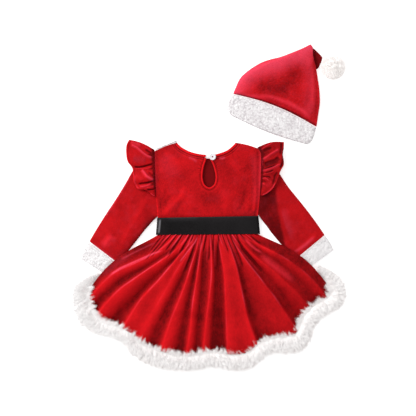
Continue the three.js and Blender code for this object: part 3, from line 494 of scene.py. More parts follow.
def plastic(name):
    n = Nodes(name)
    cloud = n.noise(300.0, 2.0)
    colour = n.blend(n.remap(cloud, "Fac", 0.3, 0.7).outputs[0], (0.74, 0.72, 0.75), (0.82, 0.80, 0.83))
    n.t.links.new(colour, n.bsdf.inputs["Base Color"])
    n.set(Roughness=0.22)
    n.bsdf.inputs["Coat Weight"].default_value = 0.3
    n.bsdf.inputs["Coat Roughness"].default_value = 0.1
    b = n.bump(cloud.outputs["Fac"], 0.05, 0.0002)
    n.t.links.new(b, n.bsdf.inputs["Normal"])
    return n.mat


def thread(name, a, b):
    n = Nodes(name)
    twist = n.add("ShaderNodeTexWave", wave_type="BANDS", bands_direction="DIAGONAL")
    twist.inputs["Scale"].default_value = 700.0
    n.link(n.coord, "Object", twist, "Vector")
    # the twist in two colours: the darker one is painted shade in the grooves between its strands
    n.t.links.new(n.blend(twist.outputs["Fac"], a, b), n.bsdf.inputs["Base Color"])
    n.set(Roughness=0.7)
    n.t.links.new(n.bump(twist.outputs["Fac"], 0.4, 0.0003), n.bsdf.inputs["Normal"])
    return n.mat


M_VELVET = velvet("velvet_red")
# a darker copy of the velvet, painted shade, for parts that lie in shadow: the bodice front seen through the keyhole,
# the front neck binding and the hat's folded tip
M_VELVET_SHADED = velvet("velvet_red_shaded", deep=(0.07, 0.0006, 0.0012), bright=(0.22, 0.002, 0.004))
M_FLEECE = fleece("fleece_white")
M_FUR = pile("fur_white", root=(0.77, 0.73, 0.72), tip=(0.935, 0.92, 0.917), glow=0.07)
M_BOBBLE = pile("bobble_white", root=(0.66, 0.61, 0.58), tip=(0.97, 0.955, 0.95), glow=0.13)
M_CURL = pile("fleece_curls", root=(0.57, 0.52, 0.54), tip=(0.84, 0.82, 0.825), glow=0.0)
M_SATIN = satin("satin_black")
M_BUTTON = plastic("button_white")
M_CORD = thread("cord_white", (0.86, 0.84, 0.84), (0.62, 0.59, 0.59))
M_STITCH = thread("stitch_red", (0.40, 0.004, 0.010), (0.22, 0.002, 0.004))

# --------------------------------------------------------------------------
# camera, floor and light
# --------------------------------------------------------------------------
FIELD = 0.9152  # what the picture's width spans, at the height of the cloth
HIGH = 3.0


def stage_and_camera():
    scene = bpy.context.scene
    scene.view_settings.view_transform = "Standard"
    scene.view_settings.look = "None"
    cam = bpy.data.cameras.new("camera")
    cam.sensor_width = 36.0
    cam.lens = 36.0 * (HIGH - 0.014) / FIELD
    cam.clip_start, cam.clip_end = 0.05, 30
    obj = bpy.data.objects.new("camera", cam)
    scene.collection.objects.link(obj)
    obj.location = ((-1.1 - MIDDLE_X) * 0.001, (59.4 - MIDDLE_Y) * 0.001, HIGH)
    obj.rotation_euler = (0, 0, 0)
    scene.camera = obj

    me = bpy.data.meshes.new("floor")
    s, k = 6.0, 24
    pts = [(s * (2 * i / k - 1), s * (2 * j / k - 1), -0.0004) for j in range(k + 1) for i in range(k + 1)]
    quads = [
        (j * (k + 1) + i, j * (k + 1) + i + 1, (j + 1) * (k + 1) + i + 1, (j + 1) * (k + 1) + i)
        for j in range(k)
        for i in range(k)
    ]
    me.from_pydata(pts, [], quads)
    floor = bpy.data.objects.new("floor", me)
    scene.collection.objects.link(floor)
    n = Nodes("floor_paper")
    grain = n.noise(30.0, 2.0)
    n.t.links.new(
        n.blend(grain.outputs["Fac"], (0.935, 0.933, 0.93), (0.955, 0.953, 0.95)), n.bsdf.inputs["Base Color"]
    )
    n.set(Roughness=0.95)
    n.bsdf.inputs["Specular IOR Level"].default_value = 0.05
    n.bsdf.inputs["Emission Color"].default_value = (1, 1, 1, 1)
    n.bsdf.inputs["Emission Strength"].default_value = 0.44
    me.materials.append(n.mat)

    world = bpy.data.worlds.new("studio")
    world.use_nodes = True
    bg = world.node_tree.nodes["Background"]
    bg.inputs[0].default_value = (1.0, 0.99, 0.985, 1)
    bg.inputs[1].default_value = 0.42
    scene.world = world

    def area(name, at, aim, size, power, colour=(1, 1, 1)):
        light = bpy.data.lights.new(name, "AREA")
        light.shape = "RECTANGLE"
        light.size, light.size_y = size
        light.energy = power
        light.color = colour
        o = bpy.data.objects.new(name, light)
        scene.collection.objects.link(o)
        o.location = at
        d = np.array(aim, float) - np.array(at, float)
        from mathutils import Vector

        o.rotation_euler = Vector(d).to_track_quat("-Z", "Y").to_euler()

    area("key", (-1.75, 1.15, 1.55), (0, 0, 0), (1.5, 1.5), 62.0)
    area("top", (0.35, 0.5, 2.4), (0, 0, 0), (1.6, 1.6), 14.0)
    area("fill", (1.9, -1.3, 1.6), (0, 0, 0), (1.6, 1.6), 7.0)


stage_and_camera()

# --------------------------------------------------------------------------
# the cut, as in the CAD part
# --------------------------------------------------------------------------
HEM = table("""
across down farAcross farDown
-264 121 -300 130
-262 143 -297 154
-254 163 -291 178
-243 183 -280 198
-225 194 -250 217
-206 199 -221 222
-178 211 -192 233
-162 225 -177 253
-151 236 -160 268
-123 248 -135 282
-96 258 -105 291
-63 265 -67 297
-30 264 -27 295
-8 258 1 289
14 257 21 290
42 262 47 296
69 262 76 296
91 255 105 284
104 244 122 268
120 233 137 260
141 226 157 259
168 222 186 259
187 219 208 250
197 207 222 233
202 191 229 211
209 178 238 194
223 163 248 182
245 145 268 171
263 136 290 158
272 122 301 136
""")
CORNER_LEFT = table("""
down farAcross farUp full
0.87 -242 -85.5 0.35
0.915 -259 -91 0.62
0.96 -280 -101 0.88
0.985 -293 -114 0.97
""")
CORNER_RIGHT = table("""
down farAcross farUp full
0.985 299 -117 0.97
0.955 291 -97 0.88
0.9 270 -80 0.62
0.84 241 -68 0.35
""")
WAIST_LEFT, WAIST_RIGHT, WAIST_UP = -105.0, 103.5, 5.0
hem_line = even_curve(HEM, "across", "down", -1.0)


def skirt_at(u, v):
    ax, ay = mix(WAIST_LEFT, WAIST_RIGHT, u), WAIST_UP
    bx, by, _ = hem_line(u)
    ln = np.hypot(bx - ax, by - ay)
    nx, ny = -(by - ay) / ln, (bx - ax) / ln
    flip = np.where(ny < 0, -1.0, 1.0)
    vc = np.clip(v, 0, 1)
    mid = np.maximum(0, np.sin(np.pi * vc))
    low = np.maximum(0, np.sin(np.pi * vc**2.6))
    more = np.where(u < 0.5, 5 * low**1.2, 4.5 * mid**0.8 + 3 * low**1.2)
    bow = np.abs(2 * u - 1) ** 3 * (13 * mid**1.6 + more)
    return mix(ax, bx, v) + nx * flip * bow, mix(ay, by, v) + ny * flip * bow


def sleeve_lift(x, y):
    far = np.minimum(np.hypot(x + 207, y + 74), np.hypot(x - 202, y + 70))
    return 9.8 * (1 - ease((far - 46) / 62))


def over_brief(x, y):
    return ease((118 - np.abs(x)) / 26) * ease((y + 184) / 24)


# The skirt's folds, left to right: crests and the hollows between them. "at" gives
# their place across (0 to 1) at shares of the way down; rise is in millimetres, and
# the last number says how much a crest catches the light.
FOLD_LINES = [
    # waist place, rise, crest?, places (down, across), glint
    (0.160, 6.5, 1, [(0.12, 0.155), (0.25, 0.115), (0.35, 0.090), (0.55, 0.050), (0.65, 0.040), (1.0, 0.026)], 0.55),
    (0.205, 0.8, 0, [(0.18, 0.205), (0.33, 0.150), (0.55, 0.090), (0.88, 0.065), (1.0, 0.058)], 0),
    (0.285, 8.5, 1, [(0.10, 0.270), (0.28, 0.190), (0.45, 0.140), (0.65, 0.105), (0.93, 0.090), (1.0, 0.088)], 0.6),
    (0.320, 0.0, 0, [(0.13, 0.305), (0.32, 0.235), (0.55, 0.190), (0.80, 0.165), (0.95, 0.145), (1.0, 0.142)], 0),
    (0.375, 11.5, 1, [(0.05, 0.365), (0.17, 0.290), (0.35, 0.248), (0.57, 0.214), (0.68, 0.198), (0.93, 0.190), (1.0, 0.188)], 0.6),
    (0.400, 9.0, 1, [(0.07, 0.385), (0.20, 0.335), (0.33, 0.300), (0.65, 0.272), (0.97, 0.250), (1.0, 0.248)], 0.12),
    (0.415, 2.0, 0, [(0.25, 0.360), (0.45, 0.338), (0.67, 0.312), (0.90, 0.300), (1.0, 0.300)], 0),
    (0.432, 11.0, 1, [(0.07, 0.410), (0.25, 0.385), (0.42, 0.372), (0.57, 0.358), (0.73, 0.345), (0.93, 0.340), (1.0, 0.338)], 0.35),
    (0.444, 3.6, 0, [(0.10, 0.424), (0.32, 0.412), (0.55, 0.404), (0.80, 0.398), (1.0, 0.395)], 0),
    (0.456, 9.5, 1, [(0.10, 0.438), (0.32, 0.432), (0.55, 0.425), (0.80, 0.428), (1.0, 0.424)], 0.45),
    (0.474, 1.6, 0, [(0.18, 0.462), (0.48, 0.464), (0.72, 0.456), (0.93, 0.456), (1.0, 0.456)], 0),
    (0.505, 10.5, 1, [(0.15, 0.525), (0.37, 0.518), (0.48, 0.508), (0.73, 0.490), (0.93, 0.482), (1.0, 0.480)], 0.3),
    (0.530, 3.2, 0, [(0.27, 0.548), (0.48, 0.535), (0.73, 0.522), (0.93, 0.515), (1.0, 0.513)], 0),
    (0.560, 1.2, 0, [(0.10, 0.575), (0.40, 0.566), (0.63, 0.556), (0.88, 0.548), (1.0, 0.547)], 0),
    (0.585, 11.5, 1, [(0.15, 0.595), (0.32, 0.597), (0.57, 0.580), (0.93, 0.565), (1.0, 0.563)], 0.5),
    (0.665, 10.6, 1, [(0.12, 0.684), (0.30, 0.686), (0.52, 0.672), (0.73, 0.664), (0.97, 0.672), (1.0, 0.673)], 0.42),
    (0.690, 1.2, 0, [(0.22, 0.708), (0.50, 0.696), (0.77, 0.690), (0.95, 0.696), (1.0, 0.698)], 0),
    (0.720, 11.5, 1, [(0.05, 0.722), (0.23, 0.752), (0.42, 0.780), (0.62, 0.800), (0.83, 0.810), (1.0, 0.820)], 0.5),
    (0.752, 0.4, 0, [(0.13, 0.775), (0.37, 0.812), (0.63, 0.832), (0.95, 0.850), (1.0, 0.852)], 0),
    (0.800, 7.5, 1, [(0.07, 0.792), (0.18, 0.812), (0.38, 0.852), (0.53, 0.872), (0.82, 0.896), (1.0, 0.902)], 0.0),
    (0.850, 1.4, 0, [(0.15, 0.866), (0.40, 0.906), (0.72, 0.926), (0.92, 0.938), (1.0, 0.941)], 0),
    (0.890, 8.5, 1, [(0.12, 0.898), (0.30, 0.936), (0.53, 0.955), (0.72, 0.965), (0.85, 0.970), (1.0, 0.973)], 0.3),
    (0.935, 2.2, 0, [(0.25, 0.955), (0.57, 0.976), (0.83, 0.982), (1.0, 0.986)], 0),
]
# Short pleats let in under the waist band: place at the band and where it ends
# (down, across), height, half width in millimetres, and how deep its creases are.
PLEATS = [
    (0.025, 0.16, 0.020, 1.8, 3.0, 0.35),
    (0.060, 0.22, 0.045, 2.4, 3.2, 0.5),
    (0.092, 0.15, 0.080, 2.0, 2.4, 0.6),
    (0.118, 0.24, 0.088, 2.8, 3.4, 0.7),
    (0.142, 0.13, 0.128, 2.2, 2.0, 0.6),
    (0.176, 0.25, 0.140, 3.0, 3.0, 0.8),
    (0.200, 0.12, 0.186, 1.8, 1.8, 0.5),
    (0.226, 0.30, 0.178, 3.2, 3.2, 0.9),
    (0.252, 0.15, 0.238, 2.2, 2.2, 0.6),
    (0.300, 0.20, 0.272, 2.8, 2.4, 0.8),
    (0.340, 0.26, 0.300, 2.8, 2.8, 0.8),
    (0.360, 0.12, 0.350, 2.0, 1.8, 0.6),
    (0.392, 0.16, 0.372, 2.4, 2.0, 0.7),
    (0.425, 0.20, 0.420, 3.0, 2.4, 0.9),
    (0.468, 0.15, 0.452, 2.2, 2.2, 0.5),
    (0.490, 0.11, 0.492, 2.0, 1.8, 0.6),
    (0.520, 0.22, 0.530, 2.8, 2.6, 0.9),
    (0.547, 0.10, 0.552, 1.6, 1.6, 0.5),
    (0.606, 0.20, 0.642, 3.0, 2.6, 1.0),
    (0.632, 0.13, 0.650, 2.2, 2.0, 0.6),
    (0.652, 0.17, 0.668, 2.4, 2.2, 0.7),
    (0.700, 0.12, 0.715, 2.2, 1.8, 0.7),
    (0.740, 0.22, 0.785, 3.0, 2.8, 1.0),
    (0.772, 0.13, 0.795, 2.0, 2.0, 0.6),
    (0.812, 0.20, 0.868, 2.8, 3.0, 0.9),
    (0.845, 0.11, 0.862, 1.8, 2.0, 0.5),
    (0.880, 0.18, 0.915, 2.2, 2.8, 0.7),
    (0.915, 0.12, 0.930, 1.8, 2.4, 0.5),
    (0.955, 0.18, 0.968, 1.8, 3.0, 0.5),
]


# Slits between the gathers, dark with painted shade, in millimetres: how dark, half width, and the line.
SLITS = [
    (0.75, 2.2, [(-104, -3), (-116, -20), (-130, -38)]),
    (0.85, 2.4, [(-95, -3), (-108, -20), (-124, -40), (-140, -58)]),
    (0.85, 2.4, [(-85, -3), (-99, -20), (-114, -36), (-129, -52)]),
    (0.80, 2.2, [(-73, -4), (-84, -20), (-97, -38)]),
    (0.95, 2.8, [(-59, -2), (-68, -16), (-82, -38), (-92, -54)]),
    (0.55, 1.8, [(-50, -3), (-56, -12), (-64, -22)]),
    (0.90, 2.6, [(-41, -3), (-52, -18), (-65, -43)]),
    (0.70, 2.0, [(-33, -3), (-37, -12), (-42, -20)]),
    (1.00, 2.6, [(-26, -3), (-29, -14), (-35, -33), (-41, -51), (-53, -81)]),
    (0.70, 2.0, [(-18.3, -3), (-21, -18), (-23, -34)]),
    (0.60, 1.8, [(-12.6, -3), (-14, -14), (-16, -28)]),
    (0.90, 2.2, [(-4.4, -3), (-7, -14), (-10, -28), (-13, -41)]),
    (0.80, 2.4, [(3.3, -3), (2.6, -20), (2, -40), (0, -60)]),
    (0.75, 2.0, [(11, -3), (10.2, -18), (9.7, -38)]),
    (1.00, 3.6, [(22.4, -2), (21.4, -24), (21, -48), (22.5, -74)]),
    (0.80, 2.2, [(32, -3), (35.6, -14), (39, -23), (46.4, -43)]),
    (0.60, 2.0, [(41.4, -3), (45, -14), (49, -28)]),
    (1.00, 2.8, [(49.1, -3), (53, -14), (58, -24), (67, -45.5), (77, -73.5)]),
    (1.00, 3.4, [(62.7, -2), (68, -16), (76, -31), (100, -58), (120, -82)]),
    (0.75, 2.4, [(72, -2), (78, -9), (88, -18)]),
    (0.60, 2.2, [(84, -2), (92, -9), (104, -17)]),
    (0.70, 2.4, [(96, -4), (106, -13), (120, -24)]),
]


def grain(shape, seed, by=0.04):
    """Small unevenness of the nap, one value a point."""
    return np.random.RandomState(seed).normal(0, by, shape)


def fold_field(u, v, width, rise=1.0):
    """Height of the main folds and of the pleats under the waist band, the painted light and shade on them
    (0 to 1) and where a painted highlight glints. width is the cloth's, in millimetres."""
    n_v, n_u = u.shape
    vv = v[:, 0]
    place, high, crest, glow = [np.zeros(n_v)], [3.5], [0], [0.0]
    for w, rise_, is_crest, at, shine in FOLD_LINES:
        a = np.array([(0.0, w)] + at)
        place.append(np.interp(vv, a[:, 0], a[:, 1]))
        high.append(rise_)
        crest.append(is_crest)
        glow.append(shine)
    place.append(np.ones(n_v))
    high.append(3.5)
    crest.append(0)
    glow.append(0.0)
    place = np.array([blur_rows(r[None], 3.0, 1)[0] for r in place])
    place = np.maximum.accumulate(place, 0)
    high, crest = np.array(high), np.array(crest)
    z, light, glint = np.zeros_like(u), np.zeros_like(u), np.zeros_like(u)
    for r in range(n_v):
        p, uu = place[:, r], u[r]
        k = np.clip(np.searchsorted(p, uu, side="right") - 1, 0, len(p) - 2)
        t = np.clip((uu - p[k]) / np.maximum(p[k + 1] - p[k], 1e-6), 0, 1)
        h0, h1 = high[k], high[k + 1]
        left_half = (p[k] + p[k + 1]) / 2 < 0.585
        steep = 0.22 * t * t + 0.78 * t**4.5
        gentle = 1 - np.cos(t * np.pi / 2) ** 1.15
        steep_down = 1 - (0.22 * (1 - t) ** 2 + 0.78 * (1 - t) ** 4.5)
        gentle_up = np.sin(t * np.pi / 2) ** 1.15
        s = np.where(h1 > h0, np.where(left_half, steep, gentle_up), np.where(left_half, gentle, steep_down))
        s = np.where(crest[k] == crest[k + 1], ease(t), s)
        z[r] = h0 + (h1 - h0) * s
        rel0 = np.where(crest[k] > 0, 1.0, 0.0)
        rel1 = np.where(crest[k + 1] > 0, 1.0, 0.0)
        # painted light and shade: between two crests the pile is lightest on them and a little darker between
        dip = 0.38 * np.sin(np.pi * t) * (crest[k] * crest[k + 1])
        light[r] = rel0 + (rel1 - rel0) * s - dip
        for j in range(1, len(p) - 1):
            if glow[j]:
                d = (uu - p[j]) * width[r]
                glint[r] += glow[j] * np.exp(-((d / 1.25) ** 2))
    pleat, crease = np.zeros_like(u), np.zeros_like(u)
    # pleats run out from the band as the cloth fans; their places are shares across
    # at the band, so they are bent the way the folds bend
    for w0, deep, w1, tall, half, cut in PLEATS:
        f = np.clip(v / deep, 0, 1)
        mid = mix(w0, w1, f)
        d = (u - mid) * width[:, None]
        wide = half * (1 + 1.1 * f)
        a = 1 - ease(f)
        lump = np.where(np.abs(d) < wide, np.cos(np.clip(d / wide, -1, 1) * np.pi / 2) ** 2, 0)
        pleat += tall * a**0.8 * lump * (f < 1)
        # the crease is deep on the side away from the light, and faint on the other
        for side, share in ((1, 1.0), (-1, 0.22)):
            g = np.exp(-(((d - side * wide * 1.05) / (1.55 + 0.7 * f)) ** 2)) * a**0.5 * (f < 1)
            crease = np.maximum(crease, share * cut * g)
    grow = 0.10 + 0.90 * ease(v / 0.34)
    fade = 0.15 + 0.85 * ease(v / 0.26)
    crease = 0.30 * crease
    z = rise * z * grow + pleat - 0.9 * crease
    # painted shade: towards the right the light is flatter and darker, as the cloth there lies in shade
    light = mix(light, 0.24 + 0.34 * light, 0.85 * ease((u - 0.675) / 0.05) * ease((v - 0.16) / 0.26))
    # painted light just below the waist band and on the pleats, painted shade in their creases; below, painted
    # highlights on the crests and the tallest pleats
    light = mix(0.74, light, fade) + 0.10 * (pleat - 0.5 * ease(pleat)) * (1 - v) - 0.9 * crease
    along = 0.42 + 0.9 * noise2(v * 7.0 + 3.0 * u, u * 40.0, 17, 2)
    glint = 0.8 * glint * ease(v / 0.10) * np.clip(along, 0, 1.2) * (1 - 0.85 * ease((v - 0.50) / 0.35))
    glint += 0.20 * np.clip(pleat - 1.3, 0, 2) * ease(v / 0.03) * (1 - crease)
    return z, light, glint


def skirt_back():
    nu, nv = 400, 78
    vs = np.linspace(0, 1, nv + 1) ** 1.15
    u, v = np.meshgrid(np.linspace(0, 1, nu + 1), vs)
    x, y = skirt_at(u, v)
    width = np.hypot(np.diff(x, axis=1), np.diff(y, axis=1)).sum(1)
    folds, light, glint = fold_field(u, v, width, 1.08)
    folds = mix(folds, blur_rows(folds, 0.68, 1), 0.8)
    side = np.minimum(u, 1 - u)
    low = 2.7 + 2.7 + sleeve_lift(x, y) + 3.6 * over_brief(x, y) * ease(side / 0.03)
    folds = folds * mix(0.25, 1.0, ease(side / 0.03))
    wobble = 0.35 * noise2(x / 16.0, y / 22.0, 5, 2)
    z = low + folds + CLOTH + wobble * ease(v / 0.2)
    z = np.minimum(z, 29.0)
    # the last few millimetres go down under the waist band
    z = z - 1.2 * (1 - ease((WAIST_UP - y) / 6.5)) * (v < 0.1)
    du = np.gradient(z, axis=1) / np.maximum(
        np.hypot(np.gradient(x, axis=1), np.gradient(y, axis=1)), 1e-6
    )
    thick = CLOTH * np.minimum(1.7, np.sqrt(1 + du**2))
    light = blur_rows(light, 0.68, 1)
    # painted highlights: broad ones on the right, where the cloth swells towards the light, and narrow ones along
    # crests on the left
    glow = ridge(x, y, [(78, -6), (92, -22), (104, -32), (120, -41)], 0.42, 5.5, 3.5, 1.5, 12)
    glow += ridge(x, y, [(110, -40), (134, -62), (160, -82), (192, -106)], 0.24, 15, 9, 1.5, 26)
    glow += ridge(x, y, [(-220, -90), (-195, -73), (-159, -57), (-127, -43), (-98, -33)], 0.62, 3.2, 3.0, 1.5, 18)
    glow += ridge(x, y, [(-196, -56), (-166, -40), (-139, -27), (-112, -15)], 0.20, 4.0, 3.0, 1.5, 16)
    glow += ridge(x, y, [(-236, -92), (-200, -62), (-170, -44)], 0.06, 14, 10, 1.6, 16)
    glow += ridge(x, y, [(-23, -2), (-30, -16), (-46, -36), (-64, -60)], 0.55, 2.4, 2.0, 1.6, 8)
    rightward = ease((x - 40) / 40)
    light = light + (0.55 + 1.0 * rightward) * glow
    # painted shade in each slit between the gathers, and painted light and highlight on the lip beside it
    slit, lip = np.zeros_like(z), np.zeros_like(z)
    for dark, half, path in SLITS:
        # each begins under the waist band
        (ax, ay), (bx, by) = path[:2]
        ln = np.hypot(bx - ax, by - ay)
        path = [(ax - 13 * (bx - ax) / ln, ay - 13 * (by - ay) / ln)] + path
        slit = np.maximum(slit, dark * ridge(x, y, path, 1.0, half * 1.6, half * 1.4, 1.15, 14))
        beside = [(px - 2.2 * half, py - 0.4 * half) for px, py in path]
        lip = np.maximum(lip, dark * ridge(x, y, beside, 1.0, 2.4, 2.4, 1.4, 12))
    light = light - 1.0 * slit + 0.16 * lip * (1 - slit)
    glint = glint * (1 - slit) + 0.07 * lip * (1 - slit)
    z = z - 1.6 * slit * ease(v / 0.04)
    # painted shade at the far right, lower down
    light -= 0.03 * ease((u - 0.80) / 0.08) * ease((v - 0.35) / 0.3)
    light += 0.10 * noise2(x / 8.0, y / 14.0, 7, 3) + grain(z.shape, 8, 0.045)
    shade = 0.08 + 0.68 * np.clip(light, -0.10, 1.15)
    # painted light: the left side faces the light more than the right, and the cloth just below the waist band is
    # lighter
    shade += 0.05 * (1 - 2 * ease(u)) + 0.10 * (1 - ease(v / 0.16))
    # painted shade by the hem, where the fur's pile overhangs the velvet
    shade -= 0.12 * ease((v - 0.88) / 0.10)
    obj = cloth(
        "skirt_back", np.stack([x, y, z], -1), thick, M_VELVET, ["skirt_back"],
        np.clip(shade, 0, 1), None, 0.35, np.clip(glint + (0.8 - 0.45 * rightward) * glow, 0, 0.85),
    )
    return obj, (x, y, z)


def skirt_front():
    nu, nv = 150, 50
    u, v = np.meshgrid(np.linspace(0, 1, nu + 1), np.linspace(0, 1, nv + 1))
    x, y = skirt_at(0.007 + 0.986 * u, 0.992 * v)
    width = np.hypot(np.diff(x, axis=1), np.diff(y, axis=1)).sum(1)
    folds = fold_field(u, v, width)[0]
    side = np.minimum(u, 1 - u)
    z = 2.7 + CLOTH + sleeve_lift(x, y) + 0.28 * folds * (1 - over_brief(x, y)) * ease(side / 0.03)
    z = np.where(v < 0.04, 2.7 + CLOTH + sleeve_lift(x, y), z)
    return cloth("skirt_front", np.stack([x, y, z], -1), CLOTH, M_VELVET, ["skirt_front"])


# --------------------------------------------------------------------------
# strands
# --------------------------------------------------------------------------
def strands(rng, roots, dirs, length, width, bend, n_seg=3, droop=0.0):
    """Tapered blades from roots along dirs. roots, dirs, bend are (n, 3) and
    length, width (n). Returns points, faces and how far along its strand each is."""
    n = len(roots)
    side = np.cross(dirs, np.array([0, 0, 1.0]) + rng.normal(0, 0.35, (n, 3)))
    side /= np.maximum(np.linalg.norm(side, axis=1, keepdims=True), 1e-6)
    pts, tips = [], []
    for k in range(n_seg):
        t = k / n_seg
        c = roots + dirs * (length * t)[:, None] + bend * (t * t)[..., None] if np.ndim(t) else (
            roots + dirs * (length * t)[:, None] + bend * t * t
        )
        c = c - np.array([0, 0, 1.0]) * (droop * t * t)
        w = (width * (1 - 0.75 * t) / 2)[:, None]
        pts += [c - side * w, c + side * w]
        tips += [np.full(n, t), np.full(n, t)]
    pts.append(roots + dirs * length[:, None] + bend - np.array([0, 0, 1.0]) * droop)
    tips.append(np.ones(n))
    p = np.stack(pts, 1).reshape(-1, 3)
    a = np.stack(tips, 1).ravel()
    per = 2 * n_seg + 1
    base = (np.arange(n) * per)[:, None]
    quads = [
        base + np.array([[2 * k, 2 * k + 1, 2 * k + 3, 2 * k + 2]]) for k in range(n_seg - 1)
    ]
    tri = base + np.array([[2 * n_seg - 2, 2 * n_seg - 1, 2 * n_seg]])
    return p, [np.concatenate(quads), tri], a


def joined(parts):
    """Several (points, faces, attribute) put together."""
    verts, quads, tris, attr, shift = [], [], [], [], 0
    for p, faces, a in parts:
        verts.append(p)
        attr.append(a)
        for f in faces:
            (quads if f.shape[1] == 4 else tris).append(f + shift)
        shift += len(p)
    out = []
    if quads:
        out.append(np.concatenate(quads))
    if tris:
        out.append(np.concatenate(tris))
    return np.concatenate(verts), out, np.concatenate(attr)


ROLL = table("""
over up
0.14 0
0.86 0
0.975 0.14
1 0.38
0.965 0.64
0.86 0.85
0.68 0.97
0.5 1
0.32 0.97
0.14 0.85
0.035 0.64
0 0.38
0.025 0.14
""")


def hem_places(back):
    """Seam and far reach all along the hem, both corners included."""
    reach = 1.0
    rows = []

    def corner(u, t):
        for down, fx, fy, full in zip(t["down"], t["farAcross"], t["farUp"], t["full"]):
            x, y = skirt_at(np.array(u, float), np.array(down, float))
            clear = 1.1 / math.hypot(fx - x, fy - y)
            rows.append(
                (mix(x, fx, clear), mix(y, fy, clear), fx, fy, 12.0 * full, mix(12.0 * full + 1.4, 26.0, full))
            )

    corner(0.0, CORNER_LEFT)
    for u in np.linspace(0, 1, 61):
        x, y, t = hem_line(u)
        fx, fy = column(HEM, "farAcross", t), -column(HEM, "farDown", t)
        rows.append((x, y, fx, fy, 12.0, 26.0))
    corner(1.0, CORNER_RIGHT)
    a = np.array(rows, float)
    keys = ("x", "y", "fx", "fy", "mid", "top")
    tab = {k: a[:, i] for i, k in enumerate(keys)}
    # spaced evenly along the middle of the roll
    t = np.linspace(0, 1, 2001)
    cx = (column(tab, "x", t) + column(tab, "fx", t)) / 2
    cy = (column(tab, "y", t) + column(tab, "fy", t)) / 2
    s = np.concatenate([[0], np.cumsum(np.hypot(np.diff(cx), np.diff(cy)))])
    total = s[-1]
    s /= total

    def at(u):
        tt = np.interp(np.clip(u, 0, 1), s, t)
        return {k: column(tab, k, tt) for k in keys}

    return at, total


def fur_top(p, w):
    """Height of the trim's body, w across from the seam (0) to its far side (1)."""
    arch = np.clip(1 - np.abs(2 * np.clip(w, 0, 1) - 1) ** 2.4, 0, 1) ** 0.5
    low, high = p["mid"] + 0.5, np.maximum(p["mid"] + 1.5, p["top"] - 6.5)
    return low + (high - low) * (0.35 + 0.65 * arch)


def fur_base(name, back, nodes):
    """The body of the trim, under its pile."""
    at, total = hem_places(back)
    m = 420
    u = np.linspace(0, 1, m)
    p = at(u)
    if back:
        w = np.concatenate([np.linspace(0, 1, 12), np.linspace(1, 0, 5)[1:-1]])
        upper = np.concatenate([np.ones(12), np.zeros(3)])
    else:
        loop = np.linspace(0, 1, 15)[:-1]
        w, upper = column_closed(ROLL, "over", loop), column_closed(ROLL, "up", loop)
    tuft = noise2(u * total / 7.0, u * 0, 31, 2)
    reach = (0.84 if back else 0.80) + 0.05 * tuft
    s = 0.02 + (reach[:, None] - 0.02) * w[None, :]
    if back:
        q = {k: v[:, None] for k, v in p.items()}
        z = np.where(upper[None, :] > 0, fur_top(q, w[None, :] + 0 * u[:, None]), q["mid"] + 0.4)
    else:
        z = p["mid"][:, None] * upper[None, :]
    x = p["x"][:, None] + (p["fx"] - p["x"])[:, None] * s
    y = p["y"][:, None] + (p["fy"] - p["y"])[:, None] * s
    rings = np.stack([x, y, z], -1)
    if back:
        rings[..., 2] += 0.8 * noise2(x / 4.5, y / 4.5, 37, 2) * (upper[None, :] > 0)
    verts, faces = solid_tube(rings)
    if not facing_out(verts, faces):
        faces = [f[:, ::-1] for f in faces]
    # painted shade: the lower roll is darker than the upper
    return build(name, verts, faces, M_FUR, nodes, {"tip": np.full(len(verts), 0.62 if back else 0.3)})


def column_closed(rows, key, t):
    c = rows[key]
    n = len(c)
    f = np.asarray(t) * n
    i = np.floor(f).astype(int)
    s = f - i
    a, b, d, e = c[(i - 1) % n], c[i % n], c[(i + 1) % n], c[(i + 2) % n]
    return b + 0.5 * s * (d - a + s * (2 * a - 5 * b + 4 * d - e + s * (3 * (b - d) + e - a)))


